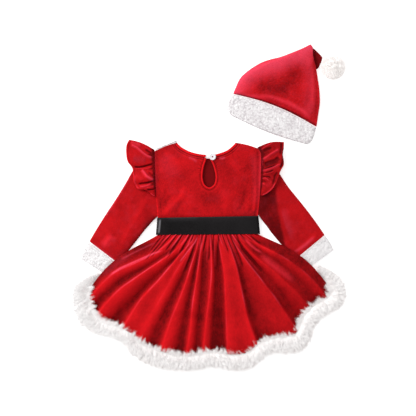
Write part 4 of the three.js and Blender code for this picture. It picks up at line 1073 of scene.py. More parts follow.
def hem_fur(name, seed, count, part, low=False):
    """Pile on one stretch of the hem trim: tufts swept out from the seam, and a row of
    short ones lying back over the velvet. Each tuft's hairs draw together at its tip."""
    rng = np.random.RandomState(seed)
    at, total = hem_places(True)
    a, b = part
    rows = 9
    along = max(4, int(total * (b - a) / 3.4))
    tu = (np.arange(along)[:, None] + rng.uniform(0, 1, (along, rows))) / along
    tu = (a + (b - a) * tu).ravel()
    lane = ((np.arange(rows)[None, :] + rng.uniform(0, 1, (along, rows))) / rows).ravel()
    p = at(tu)
    k = len(tu)
    out = np.stack([p["fx"] - p["x"], p["fy"] - p["y"], 0 * tu], -1)
    ln = np.linalg.norm(out, axis=1)
    out /= ln[:, None]
    tan = np.stack([-out[:, 1], out[:, 0], 0 * tu], -1)
    up = np.array([0, 0, 1.0])
    s_at = 0.02 + 0.82 * lane
    if low:
        s_at = 0.62 + 0.18 * rng.rand(k)
    root = np.stack([p["x"], p["y"], 0 * tu], -1) + out * (s_at * ln)[:, None]
    root[:, 2] = fur_top(p, lane) - 0.8
    if low:
        root[:, 2] = rng.uniform(0.08, 0.85, k) * (p["mid"] + 3)
    lean = 0.55 * noise2(tu * total / 16.0, lane * 2.0, seed + 3, 2) + rng.normal(0, 0.16, k)
    inward = lane < 0.16
    fan = np.where(inward, -0.95, 0.30 + 0.85 * lane) + rng.normal(0, 0.10, k)
    rise = np.where(inward, 0.26, 0.78 - 0.66 * lane) + rng.normal(0, 0.09, k)
    length = rng.uniform(11.0, 16.5, k)
    length = np.where(inward, rng.uniform(6.5, 16.0, k), length)
    if low:
        fan, rise = np.full(k, 1.0), rng.uniform(-0.05, 0.28, k)
        length = rng.uniform(7.0, 12.0, k)
    dirs = out * fan[:, None] + tan * lean[:, None] + up * rise[:, None]
    dirs /= np.linalg.norm(dirs, axis=1, keepdims=True)
    # no hair reaches much past the trim's far side
    flat = np.maximum(np.einsum("ij,ij->i", dirs, out), 0.15)
    room = ((1.0 - s_at) * ln + rng.uniform(-1.5, 4.0, k)) / flat
    length = np.where(inward, length, np.clip(np.minimum(length, room), 4.0, 18.0))
    # and none rises above the solid's top by more than a millimetre or so
    high = (p["top"] + 1.2 - root[:, 2]) / np.maximum(dirs[:, 2], 0.05)
    length = np.minimum(length, np.maximum(high * 1.35, 4.0))
    droop = np.maximum(0, root[:, 2] + dirs[:, 2] * length - (p["top"] + 1.0))
    tone = rng.normal(0, 0.09, k)
    which = rng.randint(0, k, count)
    spread = rng.normal(0, 2.1, (count, 3)) * np.where(inward[which], 1.5, 1.0)[:, None]
    spread[:, 2] *= 0.15
    roots = root[which] + spread
    tips = root[which] + dirs[which] * (length[which] * rng.uniform(0.78, 1.12, count))[:, None]
    tips += rng.normal(0, 1.1, (count, 3)) * np.where(inward[which], 1.6, 1.0)[:, None]
    way = tips - roots
    far = np.linalg.norm(way, axis=1)
    way /= far[:, None]
    bend = (
        tan[which] * rng.normal(0, 0.7, count)[:, None]
        + out[which] * rng.normal(0.2, 0.4, count)[:, None]
        - up * (droop[which] + rng.uniform(0.2, 1.6, count))[:, None]
    )
    width = rng.uniform(0.55, 1.02, count) * np.where(inward[which], 0.44, 1.0)
    pts, faces, tip = strands(rng, roots, way, far, width, bend, 2)
    pts[:, 2] = np.maximum(pts[:, 2], 0.15)
    # painted shade on the hairs of the roll's far half and on the short ones lying underneath, painted light on the
    # left, which faces the light; tone adds random unevenness
    low_down = 0.42 * ease((lane[which] - 0.55) / 0.45)
    base = (0.10 if low else 0.52) + tone[which] - low_down + 0.45 * ease((-150 - roots[:, 0]) / 60)
    shade = np.clip(np.repeat(base, 5) + (0.55 if low else 0.62) * tip, 0, 1)
    return build(name, pts, faces, M_FUR, (), {"tip": shade})


# --------------------------------------------------------------------------
# flattened tubes: sleeves, cuffs, waist band, hat band, hat tip
# --------------------------------------------------------------------------
SLEEVE_LEFT = table("""
outAcross outUp inAcross inUp low edge crown bulge
-119.4 184.5 -111.8 40.5 2.7 6.9 6.9 -1.5
-136 175 -121 32.5 2.7 7.5 8.8 -0.7
-152 160 -131 21.5 2.6 7.6 9.6 0
-168 140 -141 10 2.2 7.4 9.3 0
-184 112 -152 -4 0.8 6.8 8.2 0
-205 78 -163 -18 0 6.2 7.5 0
-225 48 -175 -33 0 6.2 7.5 0
-244 18 -187 -49 0 6.2 7.5 0
-262.9 -14 -198.4 -63 0 6.2 7.5 0
""")
SLEEVE_RIGHT = table("""
outAcross outUp inAcross inUp low edge crown bulge
116.1 188 109.4 44.6 2.7 6.9 6.9 2.5
131 173 118.6 32 2.7 7.5 8.8 1.2
145 155 128.5 19.5 2.6 7.6 9.6 0
159 132 138 6 2.2 7.4 9.3 0
176 106 147.5 -5.5 0.8 6.8 8.2 0
197 80 158 -18 0 6.2 7.5 0
217 55 168 -30 0 6.2 7.5 0
237 28 179 -43 0 6.2 7.5 0
256.3 0 189.4 -55.5 0 6.2 7.5 0
""")
CUFF_LEFT = table("""
outAcross outUp inAcross inUp low edge crown bulge
-264.9 -16.4 -199.3 -66.2 0 9.6 10.8 0
-274.5 -33 -208 -79.5 0 9.6 10.8 0
-283.8 -50.6 -217 -93.5 0 9.6 10.8 0
""")
CUFF_RIGHT = table("""
outAcross outUp inAcross inUp low edge crown bulge
258.6 -3 190.6 -59.2 0 9.6 10.8 0
267.5 -17.5 199 -71 0 9.6 10.8 0
276.1 -33 207.5 -82.5 0 9.6 10.8 0
""")
BAND = table("""
outAcross outUp inAcross inUp low edge crown bulge
-113.2 38 110.4 42 0 12.6 13.6 0
-114.8 19 112.2 22 0 12.8 13.8 0
-116.5 0 114 2.2 0 13 14 0
""")
HAT_BAND = table("""
outAcross outUp inAcross inUp low edge crown bulge
53.2 309.6 237.6 236.4 0 10.2 11.7 9.5
46 298 234 223.5 0 10.4 12.2 5
41.2 285 230 212 0 10.4 12.2 0.5
42 274 225.5 204.8 0 10.4 12 -3
50 264 217.5 200.2 0 9.6 11.2 -5.5
""")
HAT_TIP = table("""
outAcross outUp inAcross inUp low edge crown bulge
224 417.5 238 365 0.3 4.9 5.3 0
234.5 409.5 241 367 0.6 6 6.8 0
244.5 399.5 244.5 371.5 2.5 9 9.8 0
250.8 391.5 248 378 5 11 11.8 0
""")


def flat_rings(rows, m, n, inset=0.0, relief=None, even=False, ends=(0.0, 1.0)):
    """Rings of a tube that lies flat: (m, n, 3), and the height of the upper layer
    raised by relief(x, y)."""
    t = np.linspace(ends[0], ends[1], m)
    c = {k: column(rows, k, t)[:, None] for k in rows}
    long_ = np.hypot(c["inAcross"] - c["outAcross"], c["inUp"] - c["outUp"])
    dx, dy = (c["inAcross"] - c["outAcross"]) / long_, (c["inUp"] - c["outUp"]) / long_
    half = n // 2
    # below, from the outer fold to the inner, then back above; closer at the folds
    k = np.arange(half) / half
    s = 0.5 - 0.5 * np.cos(np.pi * k)
    s = mix(s, k, 0.45)
    share = np.concatenate([s, 1 - s])[None, :]
    above = np.concatenate([np.zeros(half), np.ones(half)])[None, :]
    body = long_ - 2 * inset
    pos = inset + body * share
    round_ = 1 - np.abs(2 * share - 1) ** (2 * long_ / 9.0).clip(2, 60)
    round_ = np.clip(round_, 0, 1) ** 0.5
    mid = (c["low"] + c["edge"]) / 2
    low, edge, crown = c["low"] + inset, c["edge"] - inset, c["crown"] - inset
    arch = np.sin(np.pi * np.clip(share, 0, 1)) ** 0.7
    z_up = mid + (edge - mid) * round_ + (crown - edge) * arch
    z_dn = mid + (low - mid) * round_
    z = np.where(above > 0, z_up, z_dn)
    b = c["bulge"] * np.sin(np.pi * pos / long_)
    x = c["outAcross"] + dx * pos - dy * b
    y = c["outUp"] + dy * pos + dx * b
    if relief is not None:
        z = z + np.where(above > 0, relief(x, y) * arch**0.6, 0)
    return np.stack([x, y, z], -1)


def tube_piece(name, rows, m, n, wall, material, nodes, relief=None, shade=None, glint=None):
    outer = flat_rings(rows, m, n, 0.0, relief)
    inner = flat_rings(rows, m, n, wall, relief)
    verts, faces = ring_tube(outer, inner)
    if not facing_out(verts, faces):
        faces = [f[:, ::-1] for f in faces]
    s = np.full(len(verts), 0.5) if shade is None else shade(verts[:, 0], verts[:, 1], verts[:, 2])
    g = np.zeros(len(verts)) if glint is None else glint(verts[:, 0], verts[:, 1])
    return build(name, verts, faces, material, nodes, {"shade": s, "glint": g})


def sleeve_relief_left(x, y):
    z = ridge(x, y, [(-128, 92), (-152, 48), (-176, 8), (-196, -30)], 1.9, 9, 26, 1.6, 22)
    z += ridge(x, y, [(-120, 60), (-140, 30), (-164, -6)], -1.4, 9, 12, 1.8, 18)
    z += ridge(x, y, [(-150, 130), (-186, 70), (-212, 30)], 0.9, 18, 22, 2, 30)
    z += ridge(x, y, [(-214, -2), (-226, -18), (-232, -30)], 1.9, 8, 12, 1.8, 10)
    z += ridge(x, y, [(-200, 10), (-216, -22)], -0.9, 9, 9, 2, 9)
    z += ridge(x, y, [(-136, 96), (-150, 88)], 1.2, 6, 9, 2, 6)
    return z + 0.30 * noise2(x / 14.0, y / 14.0, 61, 2)


def sleeve_relief_right(x, y):
    # the long soft fold: the cloth stands along it, steep on its inner side
    z = ridge(x, y, [(150, 84), (154, 60), (161, 20), (169, -20), (176, -40)], 3.4, 26, 6, 1.5, 24)
    z += ridge(x, y, [(200, -34), (224, -14), (246, 6)], 1.6, 9, 9, 1.8, 10)
    z += ridge(x, y, [(160, 120), (200, 68), (232, 24)], 0.9, 16, 20, 2, 30)
    z += ridge(x, y, [(120, 70), (134, 32), (150, 2)], -0.9, 10, 12, 2, 16)
    return z + 0.30 * noise2(x / 14.0, y / 14.0, 67, 2)


def sleeve_shade_left(x, y, z):
    # painted shade along the inner fold, painted light on a patch near the cuff and along the long crease
    along = (x + 262) * 0.795 + (y + 14) * -0.607
    d = ridge(x, y, [(-114, 44), (-136, 14), (-160, -16), (-196, -62)], 1.0, 24, 24, 1.4, 8)
    lit = ridge(x, y, [(-212, 2), (-232, -30)], 1.0, 12, 15, 1.6, 10)
    crease = ridge(x, y, [(-128, 92), (-152, 48), (-176, 8), (-196, -30)], 1.0, 10, 14, 1.7, 22)
    return np.clip(0.40 - 0.34 * d + 0.30 * lit + 0.14 * crease + 0.10 * noise2(x / 22.0, y / 26.0, 63, 2), 0, 1)


def sleeve_glint_left(x, y):
    g = ridge(x, y, [(-204, 4), (-222, -16), (-240, -34)], 0.08, 16, 20, 1.4, 18)
    g += ridge(x, y, [(-168, 140), (-190, 100), (-212, 66), (-236, 28)], 0.16, 4, 14, 1.6, 26)
    g += ridge(x, y, [(-260, -16), (-230, -38), (-202, -60)], 0.16, 4, 4, 1.8, 12)
    return np.clip(g + 0.04 * noise2(x / 9.0, y / 9.0, 64, 2), 0, 0.6)


def sleeve_shade_right(x, y, z):
    # painted light right of the long fold, painted shade left of it on its steep inner side, and painted light near the
    # cuff
    px = np.interp(-y, [-84, -60, -20, 20, 40], [150, 154, 161, 169, 176])
    f = ease((x - px + 5) / 9)
    d = ridge(x, y, [(116, 100), (124, 40), (146, 0), (172, -36), (186, -54)], 1.0, 30, 16, 1.6, 8)
    up = ease((y - 92) / 30)
    lit = ridge(x, y, [(190, -38), (214, -20), (240, 2)], 1.0, 7, 10, 1.7, 12)
    inner = mix(0.07, 0.42, f)
    return np.clip(mix(inner, 0.22, up) - 0.10 * d * (1 - f) + 0.16 * lit + 0.08 * noise2(x / 22.0, y / 26.0, 69, 2), 0, 1)


def sleeve_glint_right(x, y):
    g = ridge(x, y, [(186, -40), (210, -24), (236, -2)], 0.22, 5, 7, 1.7, 12)
    g += ridge(x, y, [(160, 64), (172, 20), (186, -16)], 0.10, 20, 6, 1.6, 22)
    return np.clip(g + 0.03 * noise2(x / 9.0, y / 9.0, 70, 2), 0, 0.6)


def belt_relief(x, y):
    z = ridge(x, y, [(-107, 60), (-109, -20)], 0.9, 3.6, 5.0, 1.6, 4)
    z += ridge(x, y, [(-92, 60), (-90, -20)], -0.35, 10, 12, 2, 4)
    z += ridge(x, y, [(-30, 60), (-24, -20)], 0.35, 18, 18, 2, 4)
    z += ridge(x, y, [(60, 60), (66, -20)], 0.30, 16, 16, 2, 4)
    z += ridge(x, y, [(99, 60), (103, -20)], -0.5, 4, 5, 2, 4)
    lo = mix(0.0, 2.2, (x + 116) / 230.0)
    hi = mix(38.0, 42.0, (x + 113) / 224.0)
    edge = np.minimum(np.abs(y - lo), np.abs(hi - y))
    z -= 0.45 * (1 - ease((edge - 0.2) / 1.6))
    return z


def belt_glint(x, y):
    """Where the satin catches the light: its left end, and its woven edges."""
    g = ridge(x, y, [(-106, 36), (-107.5, 20), (-109.5, 2)], 0.55, 2.6, 3.6, 1.7, 6)
    g += ridge(x, y, [(-111.5, 36), (-114.5, 2)], 0.12, 1.6, 1.6, 1.7, 4)
    g += ridge(x, y, [(-94, 40), (-60, 40.5), (-20, 41)], 0.03, 14, 14, 2, 12)
    lo = mix(0.0, 2.2, (x + 116) / 230.0)
    hi = mix(38.0, 42.0, (x + 113) / 224.0)
    g += 0.030 * np.exp(-(((y - hi + 1.6) / 0.9) ** 2)) + 0.022 * np.exp(-(((y - lo - 1.5) / 0.8) ** 2))
    g += 0.012 * ease((y - 24) / 14) * (1 - ease((x - 40) / 60))
    return np.clip(g, 0, 1)


# --------------------------------------------------------------------------
# fleece curls
# --------------------------------------------------------------------------
def curls(rng, roots, normals, length, width, curl=0.9):
    """Short curved hairs on a surface."""
    n = len(roots)
    tilt = rng.normal(0, 1, (n, 3))
    tilt -= normals * np.einsum("ij,ij->i", tilt, normals)[:, None]
    tilt /= np.linalg.norm(tilt, axis=1, keepdims=True)
    dirs = normals * 0.75 + tilt * rng.uniform(0.3, 1.0, n)[:, None]
    dirs /= np.linalg.norm(dirs, axis=1, keepdims=True)
    bend = tilt * (rng.uniform(-1.0, 1.0, n) * curl * length)[:, None] - normals * (0.35 * length)[:, None]
    return strands(rng, roots, dirs, length, width, bend, 2)


def on_rings(rng, rings, count, rows=(0.0, 1.0)):
    """Random places on a grid of rings, with their normals."""
    m, n = rings.shape[:2]
    nxt = np.roll(np.arange(n), -1)
    a, b, c = rings[:-1], rings[:-1][:, nxt], rings[1:]
    area = np.linalg.norm(np.cross(b - a, c - a), axis=-1)
    flat = area.ravel() / area.sum()
    pick = rng.choice(len(flat), count, p=flat)
    i, j = pick // n, pick % n
    s, t = rng.rand(count)[:, None], rng.rand(count)[:, None]
    j2 = (j + 1) % n
    p = mix(mix(rings[i, j], rings[i, j2], s), mix(rings[i + 1, j], rings[i + 1, j2], s), t)
    nr = np.cross(rings[i, j2] - rings[i, j], rings[i + 1, j] - rings[i, j])
    nr /= np.maximum(np.linalg.norm(nr, axis=1, keepdims=True), 1e-9)
    return p, nr


def fleece_tube(name, rows, m, n, nodes, seed, count):
    """A fleece cuff or band: a lumpy wall and, on it, its curls."""
    lump = lambda x, y: 1.0 * noise2(x / 3.3, y / 3.3, seed, 2) + 0.6 * noise2(x / 13.0, y / 13.0, seed + 5, 2)
    outer = flat_rings(rows, m, n, 0.0, None)
    inner = flat_rings(rows, m, n, 4.2, None)
    x, y, z = outer[..., 0], outer[..., 1], outer[..., 2]
    above = z > (rows["edge"][0] * 0.5)
    lumps = lump(x, y)
    outer[..., 2] += np.where(above, lumps - 0.8, 0)
    centre = outer.mean(1, keepdims=True)
    verts, faces = ring_tube(outer, inner)
    if not facing_out(verts, faces):
        faces = [f[:, ::-1] for f in faces]
    # painted light and shade: lighter on the lumps' tops, darker on the inner wall; the tube is also darker at both
    # ends, and the cuffs lighter than the hat band
    down = np.linspace(0, 1, outer.shape[0])[:, None]
    lip = 0.55 * ease((down - 0.90) / 0.08) + 0.30 * (1 - ease(down / 0.03))
    lift = 0.0 if name == "hat_band" else 0.42
    lip = lip + 0.10 - lift
    shade = np.concatenate([np.clip(0.62 + 0.42 * lumps - lip, 0, 1).ravel(), np.full(inner[..., 0].size, 0.3)])
    base = build(name, verts, faces, M_FLEECE, nodes, {"shade": shade})
    rng = np.random.RandomState(seed + 9)
    roots, nr = on_rings(rng, outer, count)
    out = np.where((nr * (roots - np.repeat(centre.mean(0, keepdims=True), count, 0)[:, 0])).sum(1) < 0, -1, 1)
    # normals point away from the tube's middle height
    mid_z = rows["edge"][0] * 0.5
    sign = np.where(np.abs(nr[:, 2]) > 0.2, np.where((roots[:, 2] > mid_z) == (nr[:, 2] > 0), 1, -1), out)
    nr = nr * sign[:, None]
    keep = (roots[:, 2] > 0.6) | (np.abs(nr[:, 2]) < 0.8)
    roots, nr = roots[keep], nr[keep]
    # the curls stand in little bunches, with gaps between them
    bunch = noise2(roots[:, 0] / 3.3, roots[:, 1] / 3.3, seed, 2)
    keep = bunch + rng.normal(0, 0.22, len(roots)) > -0.18
    roots, nr, bunch = roots[keep], nr[keep], bunch[keep]
    k = len(roots)
    length = rng.uniform(1.6, 3.2, k)
    width = rng.uniform(0.4, 0.8, k)
    pts, f, tip = curls(rng, roots - nr * 0.4, nr, length, width)
    pts[:, 2] = np.maximum(pts[:, 2], 0.1)
    # painted light on the curls of the bunches and painted shade on those low down, near the floor
    tone = np.repeat(0.30 * bunch + rng.normal(0, 0.10, k), 5)
    edge = np.clip((5.0 - np.repeat(roots[:, 2], 5)) / 5.0, 0, 1)
    build(name + "_pile", pts, f, M_CURL, (), {"tip": np.clip(0.42 + lift + 0.55 * tip + tone - 0.5 * edge, 0, 1)})
    return base


# --------------------------------------------------------------------------
# bodice
# --------------------------------------------------------------------------
NECK = table("""
across up frontUp
-69.3 203.5 203.5
-62.7 195.8 191.4
-46.2 185.9 179.3
-29.7 180.4 172.7
-9.9 177.1 169.0
9.9 177.0 169.0
25.3 180.4 172.7
41.8 187.0 180.5
56.1 199.1 193.6
59.4 203.5 203.5
""")
SIDES = table("""
leftAcross leftUp rightAcross rightUp
-118.4 184.6 112.4 189.4
-118.2 166 115.4 178
-117.6 143 115.2 146
-115.2 92 113.0 92
-111.1 40 108.4 43
-107.5 5.3 105.5 5.3
""")
KEYHOLE = table("""
across up
-4.6 169.9
-6.2 163.0
-10.0 151.5
-12.4 138.0
-12.8 125.5
-8.6 111.5
1.8 104.9
12.0 111.5
15.4 124.5
14.3 137.0
10.4 151.5
6.2 161.5
2.8 168.8
""")
neck_back = even_curve(NECK, "across", "up")
neck_front = even_curve(NECK, "across", "frontUp")
key_curve = even_curve(KEYHOLE, "across", "up")
BINDING = 5.5
KEY_BINDING = 4.2


def back_low(x, y):
    side = np.clip((113 - np.abs(x)) / 113, 0, 1)
    top = np.clip((205 - y) / 60, 0, 1)
    waist = mix(0.35, 1.0, ease((y - 8) / 60))
    return 4.8 + 3.3 * np.sin(np.pi / 2 * side) ** 0.8 * mix(0.5, 1.0, ease(top)) * waist


def bodice_at(neck, u, v):
    a, b = 0.24, 0.78
    nx, ny, _ = neck(np.clip((u - a) / (b - a), 0, 1))
    p0, p1 = neck(0.0), neck(1.0)
    sl = np.clip(u / a, 0, 1)
    sr = np.clip((u - b) / (1 - b), 0, 1)
    tx = np.where(u < a, mix(SIDES["leftAcross"][0], p0[0], sl), np.where(u > b, mix(p1[0], SIDES["rightAcross"][0], sr), nx))
    ty = np.where(
        u < a,
        mix(SIDES["leftUp"][0], p0[1], sl) + 2.2 * np.sin(np.pi * sl),
        np.where(u > b, mix(p1[1], SIDES["rightUp"][0], sr) + 2.0 * np.sin(np.pi * sr), ny),
    )
    out = []
    for k, t in (("Across", tx), ("Up", ty)):
        l, r = column(SIDES, "left" + k, v), column(SIDES, "right" + k, v)
        l0, r0, l1, r1 = (SIDES["left" + k][0], SIDES["right" + k][0], SIDES["left" + k][-1], SIDES["right" + k][-1])
        out.append((1 - v) * t + v * mix(l1, r1, u) + mix(l, r, u) - mix(mix(l0, r0, u), mix(l1, r1, u), v))
    return out


def inside(x, y, poly):
    """Points of a grid inside a closed outline."""
    c = np.zeros(np.shape(x), bool)
    px, py = poly[:, 0], poly[:, 1]
    j = len(poly) - 1
    for i in range(len(poly)):
        with np.errstate(divide="ignore", invalid="ignore"):
            hit = ((py[i] > y) != (py[j] > y)) & (x < (px[j] - px[i]) * (y - py[i]) / (py[j] - py[i]) + px[i])
        c ^= hit
        j = i
    return c


def offset(px, py, by):
    tx, ty = np.gradient(px), np.gradient(py)
    ln = np.hypot(tx, ty)
    return px - ty / ln * by, py + tx / ln * by


def near_curve(x, y, px, py):
    d = np.full(np.shape(x), 1e9)
    for a, b in zip(px, py):
        d = np.minimum(d, np.hypot(x - a, y - b))
    return d


def bodice_relief(x, y):
    z = ridge(x, y, [(-100, 44), (-84, 58), (-62, 84), (-48, 112)], 0.9, 8, 10, 1.8, 16)
    z += ridge(x, y, [(-112, 56), (-96, 70), (-84, 92)], -0.7, 7, 8, 2, 12)
    z += ridge(x, y, [(-78, 44), (-66, 62), (-56, 84)], -0.5, 8, 8, 2, 12)
    z += ridge(x, y, [(82, 46), (90, 70), (96, 100)], 0.9, 8, 8, 1.8, 14)
    z += ridge(x, y, [(64, 46), (76, 76), (82, 104)], -0.6, 7, 8, 2, 14)
    z += ridge(x, y, [(100, 46), (104, 80), (106, 118)], 0.6, 6, 5, 2, 14)
    z += ridge(x, y, [(34, 46), (38, 70), (36, 96)], 0.5, 12, 12, 2, 14)
    z += ridge(x, y, [(-20, 46), (-16, 64), (-18, 84)], 0.4, 12, 12, 2, 12)
    z += ridge(x, y, [(40, 172), (62, 150), (84, 140)], 0.6, 12, 14, 2, 16)
    z += ridge(x, y, [(-96, 190), (-80, 168), (-60, 152)], 0.5, 12, 14, 2, 16)
    return z


def bodice_back():
    nu, nv = 150, 120
    u, v = np.meshgrid(np.linspace(0, 1, nu + 1), np.linspace(0, 1, nv + 1))
    x, y = bodice_at(neck_back, u, v)
    # the side edges reach into the armhole seams
    tuck = np.clip(1 - np.minimum(u, 1 - u) / 0.03, 0, 1)
    x = x + np.where(u < 0.5, -1.0, 1.0) * tuck * 1.0
    kx, ky, _ = key_curve(np.linspace(0, 1, 120))
    mx, my = offset(kx, ky, -2.4)
    poly = np.stack([np.concatenate([[mx[0]], mx, [mx[-1]]]), np.concatenate([[200], my, [200]])], -1)
    hole = inside(x, y, poly)
    keep = ~(hole[:-1, :-1] | hole[1:, :-1] | hole[:-1, 1:] | hole[1:, 1:])
    d = near_curve(x, y, kx, ky)
    ang = np.arctan2(y - 137, x - 1.5)
    pucker = np.exp(-(((d - 7.6) / 2.2) ** 2))
    z = back_low(x, y) + CLOTH + bodice_relief(x, y)
    z += 0.28 * np.sin(ang * 34 + 2 * noise2(x / 8, y / 8, 4)) * pucker
    z -= 0.55 * np.exp(-(((d - 6.2) / 1.0) ** 2))
    z += 0.28 * noise2(x / 18.0, y / 18.0, 71, 2)
    # the armhole seams: a small roll at the edge, with gathers' pull
    side = np.minimum(u, 1 - u)
    z += 0.8 * np.exp(-((side / 0.012) ** 2)) - 0.5 * np.exp(-(((side - 0.022) / 0.010) ** 2))
    z -= 2.2 * (1 - ease((y - 36) / 8.0)) * 0.6
    nk = near_curve(x, y, *neck_back(np.linspace(0, 1, 160))[:2])
    z -= 0.5 * np.exp(-(((nk - 6.6) / 1.2) ** 2))
    # painted light and shade: lighter where the relief stands up, darker in the seams beside the neck and keyhole
    # bindings, and a light line along the binding's edge
    shade = 0.42 + 0.14 * noise2(x / 46.0, y / 40.0, 73, 2) + 0.24 * bodice_relief(x, y)
    shade += 0.05 * noise2(x / 3.0, y / 3.0, 75, 2) + grain(shade.shape, 76, 0.05)
    shade -= 0.40 * np.exp(-(((nk - 6.1) / 1.3) ** 2)) + 0.26 * np.exp(-(((d - 5.4) / 1.2) ** 2))
    shade += 0.14 * np.exp(-(((nk - 8.2) / 1.0) ** 2))
    # the turned allowance makes a ridge below the binding and round the keyhole, shown as lines of painted shade and
    # painted light
    shade -= 0.24 * np.exp(-(((nk - 10.4) / 1.2) ** 2)) - 0.14 * np.exp(-(((nk - 12.6) / 1.3) ** 2))
    # painted light and shade of the folds running up from the corners of the waist band, and painted shade across the
    # upper right
    shade += 0.13 * ridge(x, y, [(-104, 44), (-88, 66), (-72, 92)], 1.0, 5, 9, 1.8, 14)
    shade -= 0.15 * ridge(x, y, [(-92, 44), (-78, 62), (-62, 80)], 1.0, 6, 9, 1.8, 14)
    shade -= 0.13 * ridge(x, y, [(-112, 60), (-100, 84), (-90, 110)], 1.0, 6, 7, 1.8, 14)
    shade += 0.14 * ridge(x, y, [(100, 46), (100, 76), (104, 110)], 1.0, 5, 8, 1.8, 14)
    shade -= 0.15 * ridge(x, y, [(86, 46), (90, 76), (96, 104)], 1.0, 6, 6, 1.8, 14)
    shade -= 0.10 * ridge(x, y, [(60, 140), (84, 148), (104, 158)], 1.0, 9, 14, 1.8, 14)
    # painted light and shade round the keyhole: its allowance's line and the puckers; painted shade over the lower
    # right and the lower middle
    shade += 0.20 * np.exp(-(((d - 9.6) / 1.0) ** 2)) * ease((128 - y) / 16)
    shade += 0.14 * np.sin(ang * 30 + 3 * noise2(x / 8, y / 8, 4)) * np.exp(-(((d - 9.5) / 3.0) ** 2)) * ease((y - 120) / 20)
    shade -= 0.05 * ease((x - 20) / 70) * ease((150 - y) / 60)
    shade -= 0.12 * ridge(x, y, [(-26, 70), (10, 86), (30, 84)], 1.0, 26, 26, 2, 14)
    # painted light on the armhole seams' roll and painted shade just inside it
    shade += 0.30 * np.exp(-((side / 0.010) ** 2)) - 0.10 * np.exp(-(((side - 0.030) / 0.012) ** 2))
    # painted highlights
    glint = ridge(x, y, [(-104, 184), (-84, 150), (-70, 120)], 0.05, 26, 30, 1.8, 20)
    glint += ridge(x, y, [(92, 186), (100, 160), (104, 110), (100, 60)], 0.05, 22, 12, 1.8, 20)
    glint += 0.12 * np.exp(-((side / 0.012) ** 2)) * ease((y - 80) / 40)
    glint += ridge(x, y, [(22, 170), (30, 168), (38, 172)], 0.25, 4, 4, 2, 4)
    glint += ridge(x, y, [(-46, 172), (-34, 168), (-24, 160)], 0.18, 4, 5, 2, 6)
    glint += 0.02 * ease(noise2(x / 20.0, y / 16.0, 77, 2) * 2.0)
    return cloth(
        "bodice_back", np.stack([x, y, z], -1), CLOTH, M_VELVET, ["bodice_back"], np.clip(shade, 0, 1), keep,
        0.35, np.clip(glint, 0, 0.6),
    )


def bodice_front():
    nu, nv = 60, 44
    u, v = np.meshgrid(np.linspace(0, 1, nu + 1), np.linspace(0, 1, nv + 1))
    x, y = bodice_at(neck_front, u, v)
    z = 2.7 + CLOTH + 0.2 * noise2(x / 20, y / 20, 75, 2) - 0.2
    return cloth("bodice_front", np.stack([x, y, z], -1), CLOTH, M_VELVET_SHADED, ["bodice_front"], None)


def rolled_strip(name, px, py, width, z_mid, high, material, nodes, n=14, ripple=0.0, seed=1):
    """A binding: a flattened roll along a line, width to the left of its direction."""
    cx, cy = offset(px, py, -width / 2)
    tx, ty = np.gradient(px), np.gradient(py)
    ln = np.hypot(tx, ty)
    nx, ny = -ty / ln, tx / ln
    a = np.linspace(0, 2 * np.pi, n + 1)[:-1]
    ca, sa = np.cos(a), np.sin(a)
    ca = np.sign(ca) * np.abs(ca) ** 0.8
    w = width / 2 * (1 + 0.05 * ripple * noise2(np.arange(len(px)) / 5.0, 0 * px, seed))
    x = cx[:, None] + nx[:, None] * ca[None, :] * w[:, None]
    y = cy[:, None] + ny[:, None] * ca[None, :] * w[:, None]
    zc = z_mid(cx, cy)
    rip = ripple * noise2(np.arange(len(px)) / 3.0, 0 * px, seed + 3)
    z = zc[:, None] + high / 2 * sa[None, :] + (rip[:, None] * (sa[None, :] > 0)) * 0.25
    rings = np.stack([x, y, z], -1)
    verts, faces = solid_tube(rings)
    if not facing_out(verts, faces):
        faces = [f[:, ::-1] for f in faces]
    # painted light along the binding's top and painted shade along its underside
    shade = np.concatenate([np.broadcast_to(0.45 + 0.35 * sa[None, :], z.shape).ravel(), [0.5, 0.5]])
    return build(name, verts, faces, material, nodes, {"shade": shade})


def share_at(curve, x):
    a, b = 0.0, 1.0
    for _ in range(40):
        m = (a + b) / 2
        if curve(m)[0] < x:
            a = m
        else:
            b = m
    return a


def bindings():
    mid = lambda x, y: back_low(x, y) + 1.05
    for name, a, b, seed in (
        ("neck_binding_left", 0.012, share_at(neck_back, -4.8), 3),
        ("neck_binding_right", share_at(neck_back, 1.8), 0.988, 5),
    ):
        px, py, _ = neck_back(np.linspace(a, b, 70))
        rolled_strip(name, px, py, BINDING, mid, 2.9, M_VELVET, [name], 16, 0.5, seed)
    px, py, _ = neck_front(np.linspace(0.05, 0.95, 80))
    rolled_strip(
        "neck_binding_front", px, py, BINDING, lambda x, y: 3.6 + 0 * x, 2.0, M_VELVET_SHADED, ["neck_binding_front"], 12, 0.3, 7
    )
    px, py, _ = key_curve(np.linspace(0, 1, 150))
    rolled_strip("keyhole_binding", px, py, KEY_BINDING, mid, 3.3, M_VELVET, ["keyhole_binding"], 16, 0.6, 9)


BUTTON_X, BUTTON_Y = 8.8, 172.4
BINDING_TOP = float(back_low(np.array(0.0), np.array(174.0))) + 2.3


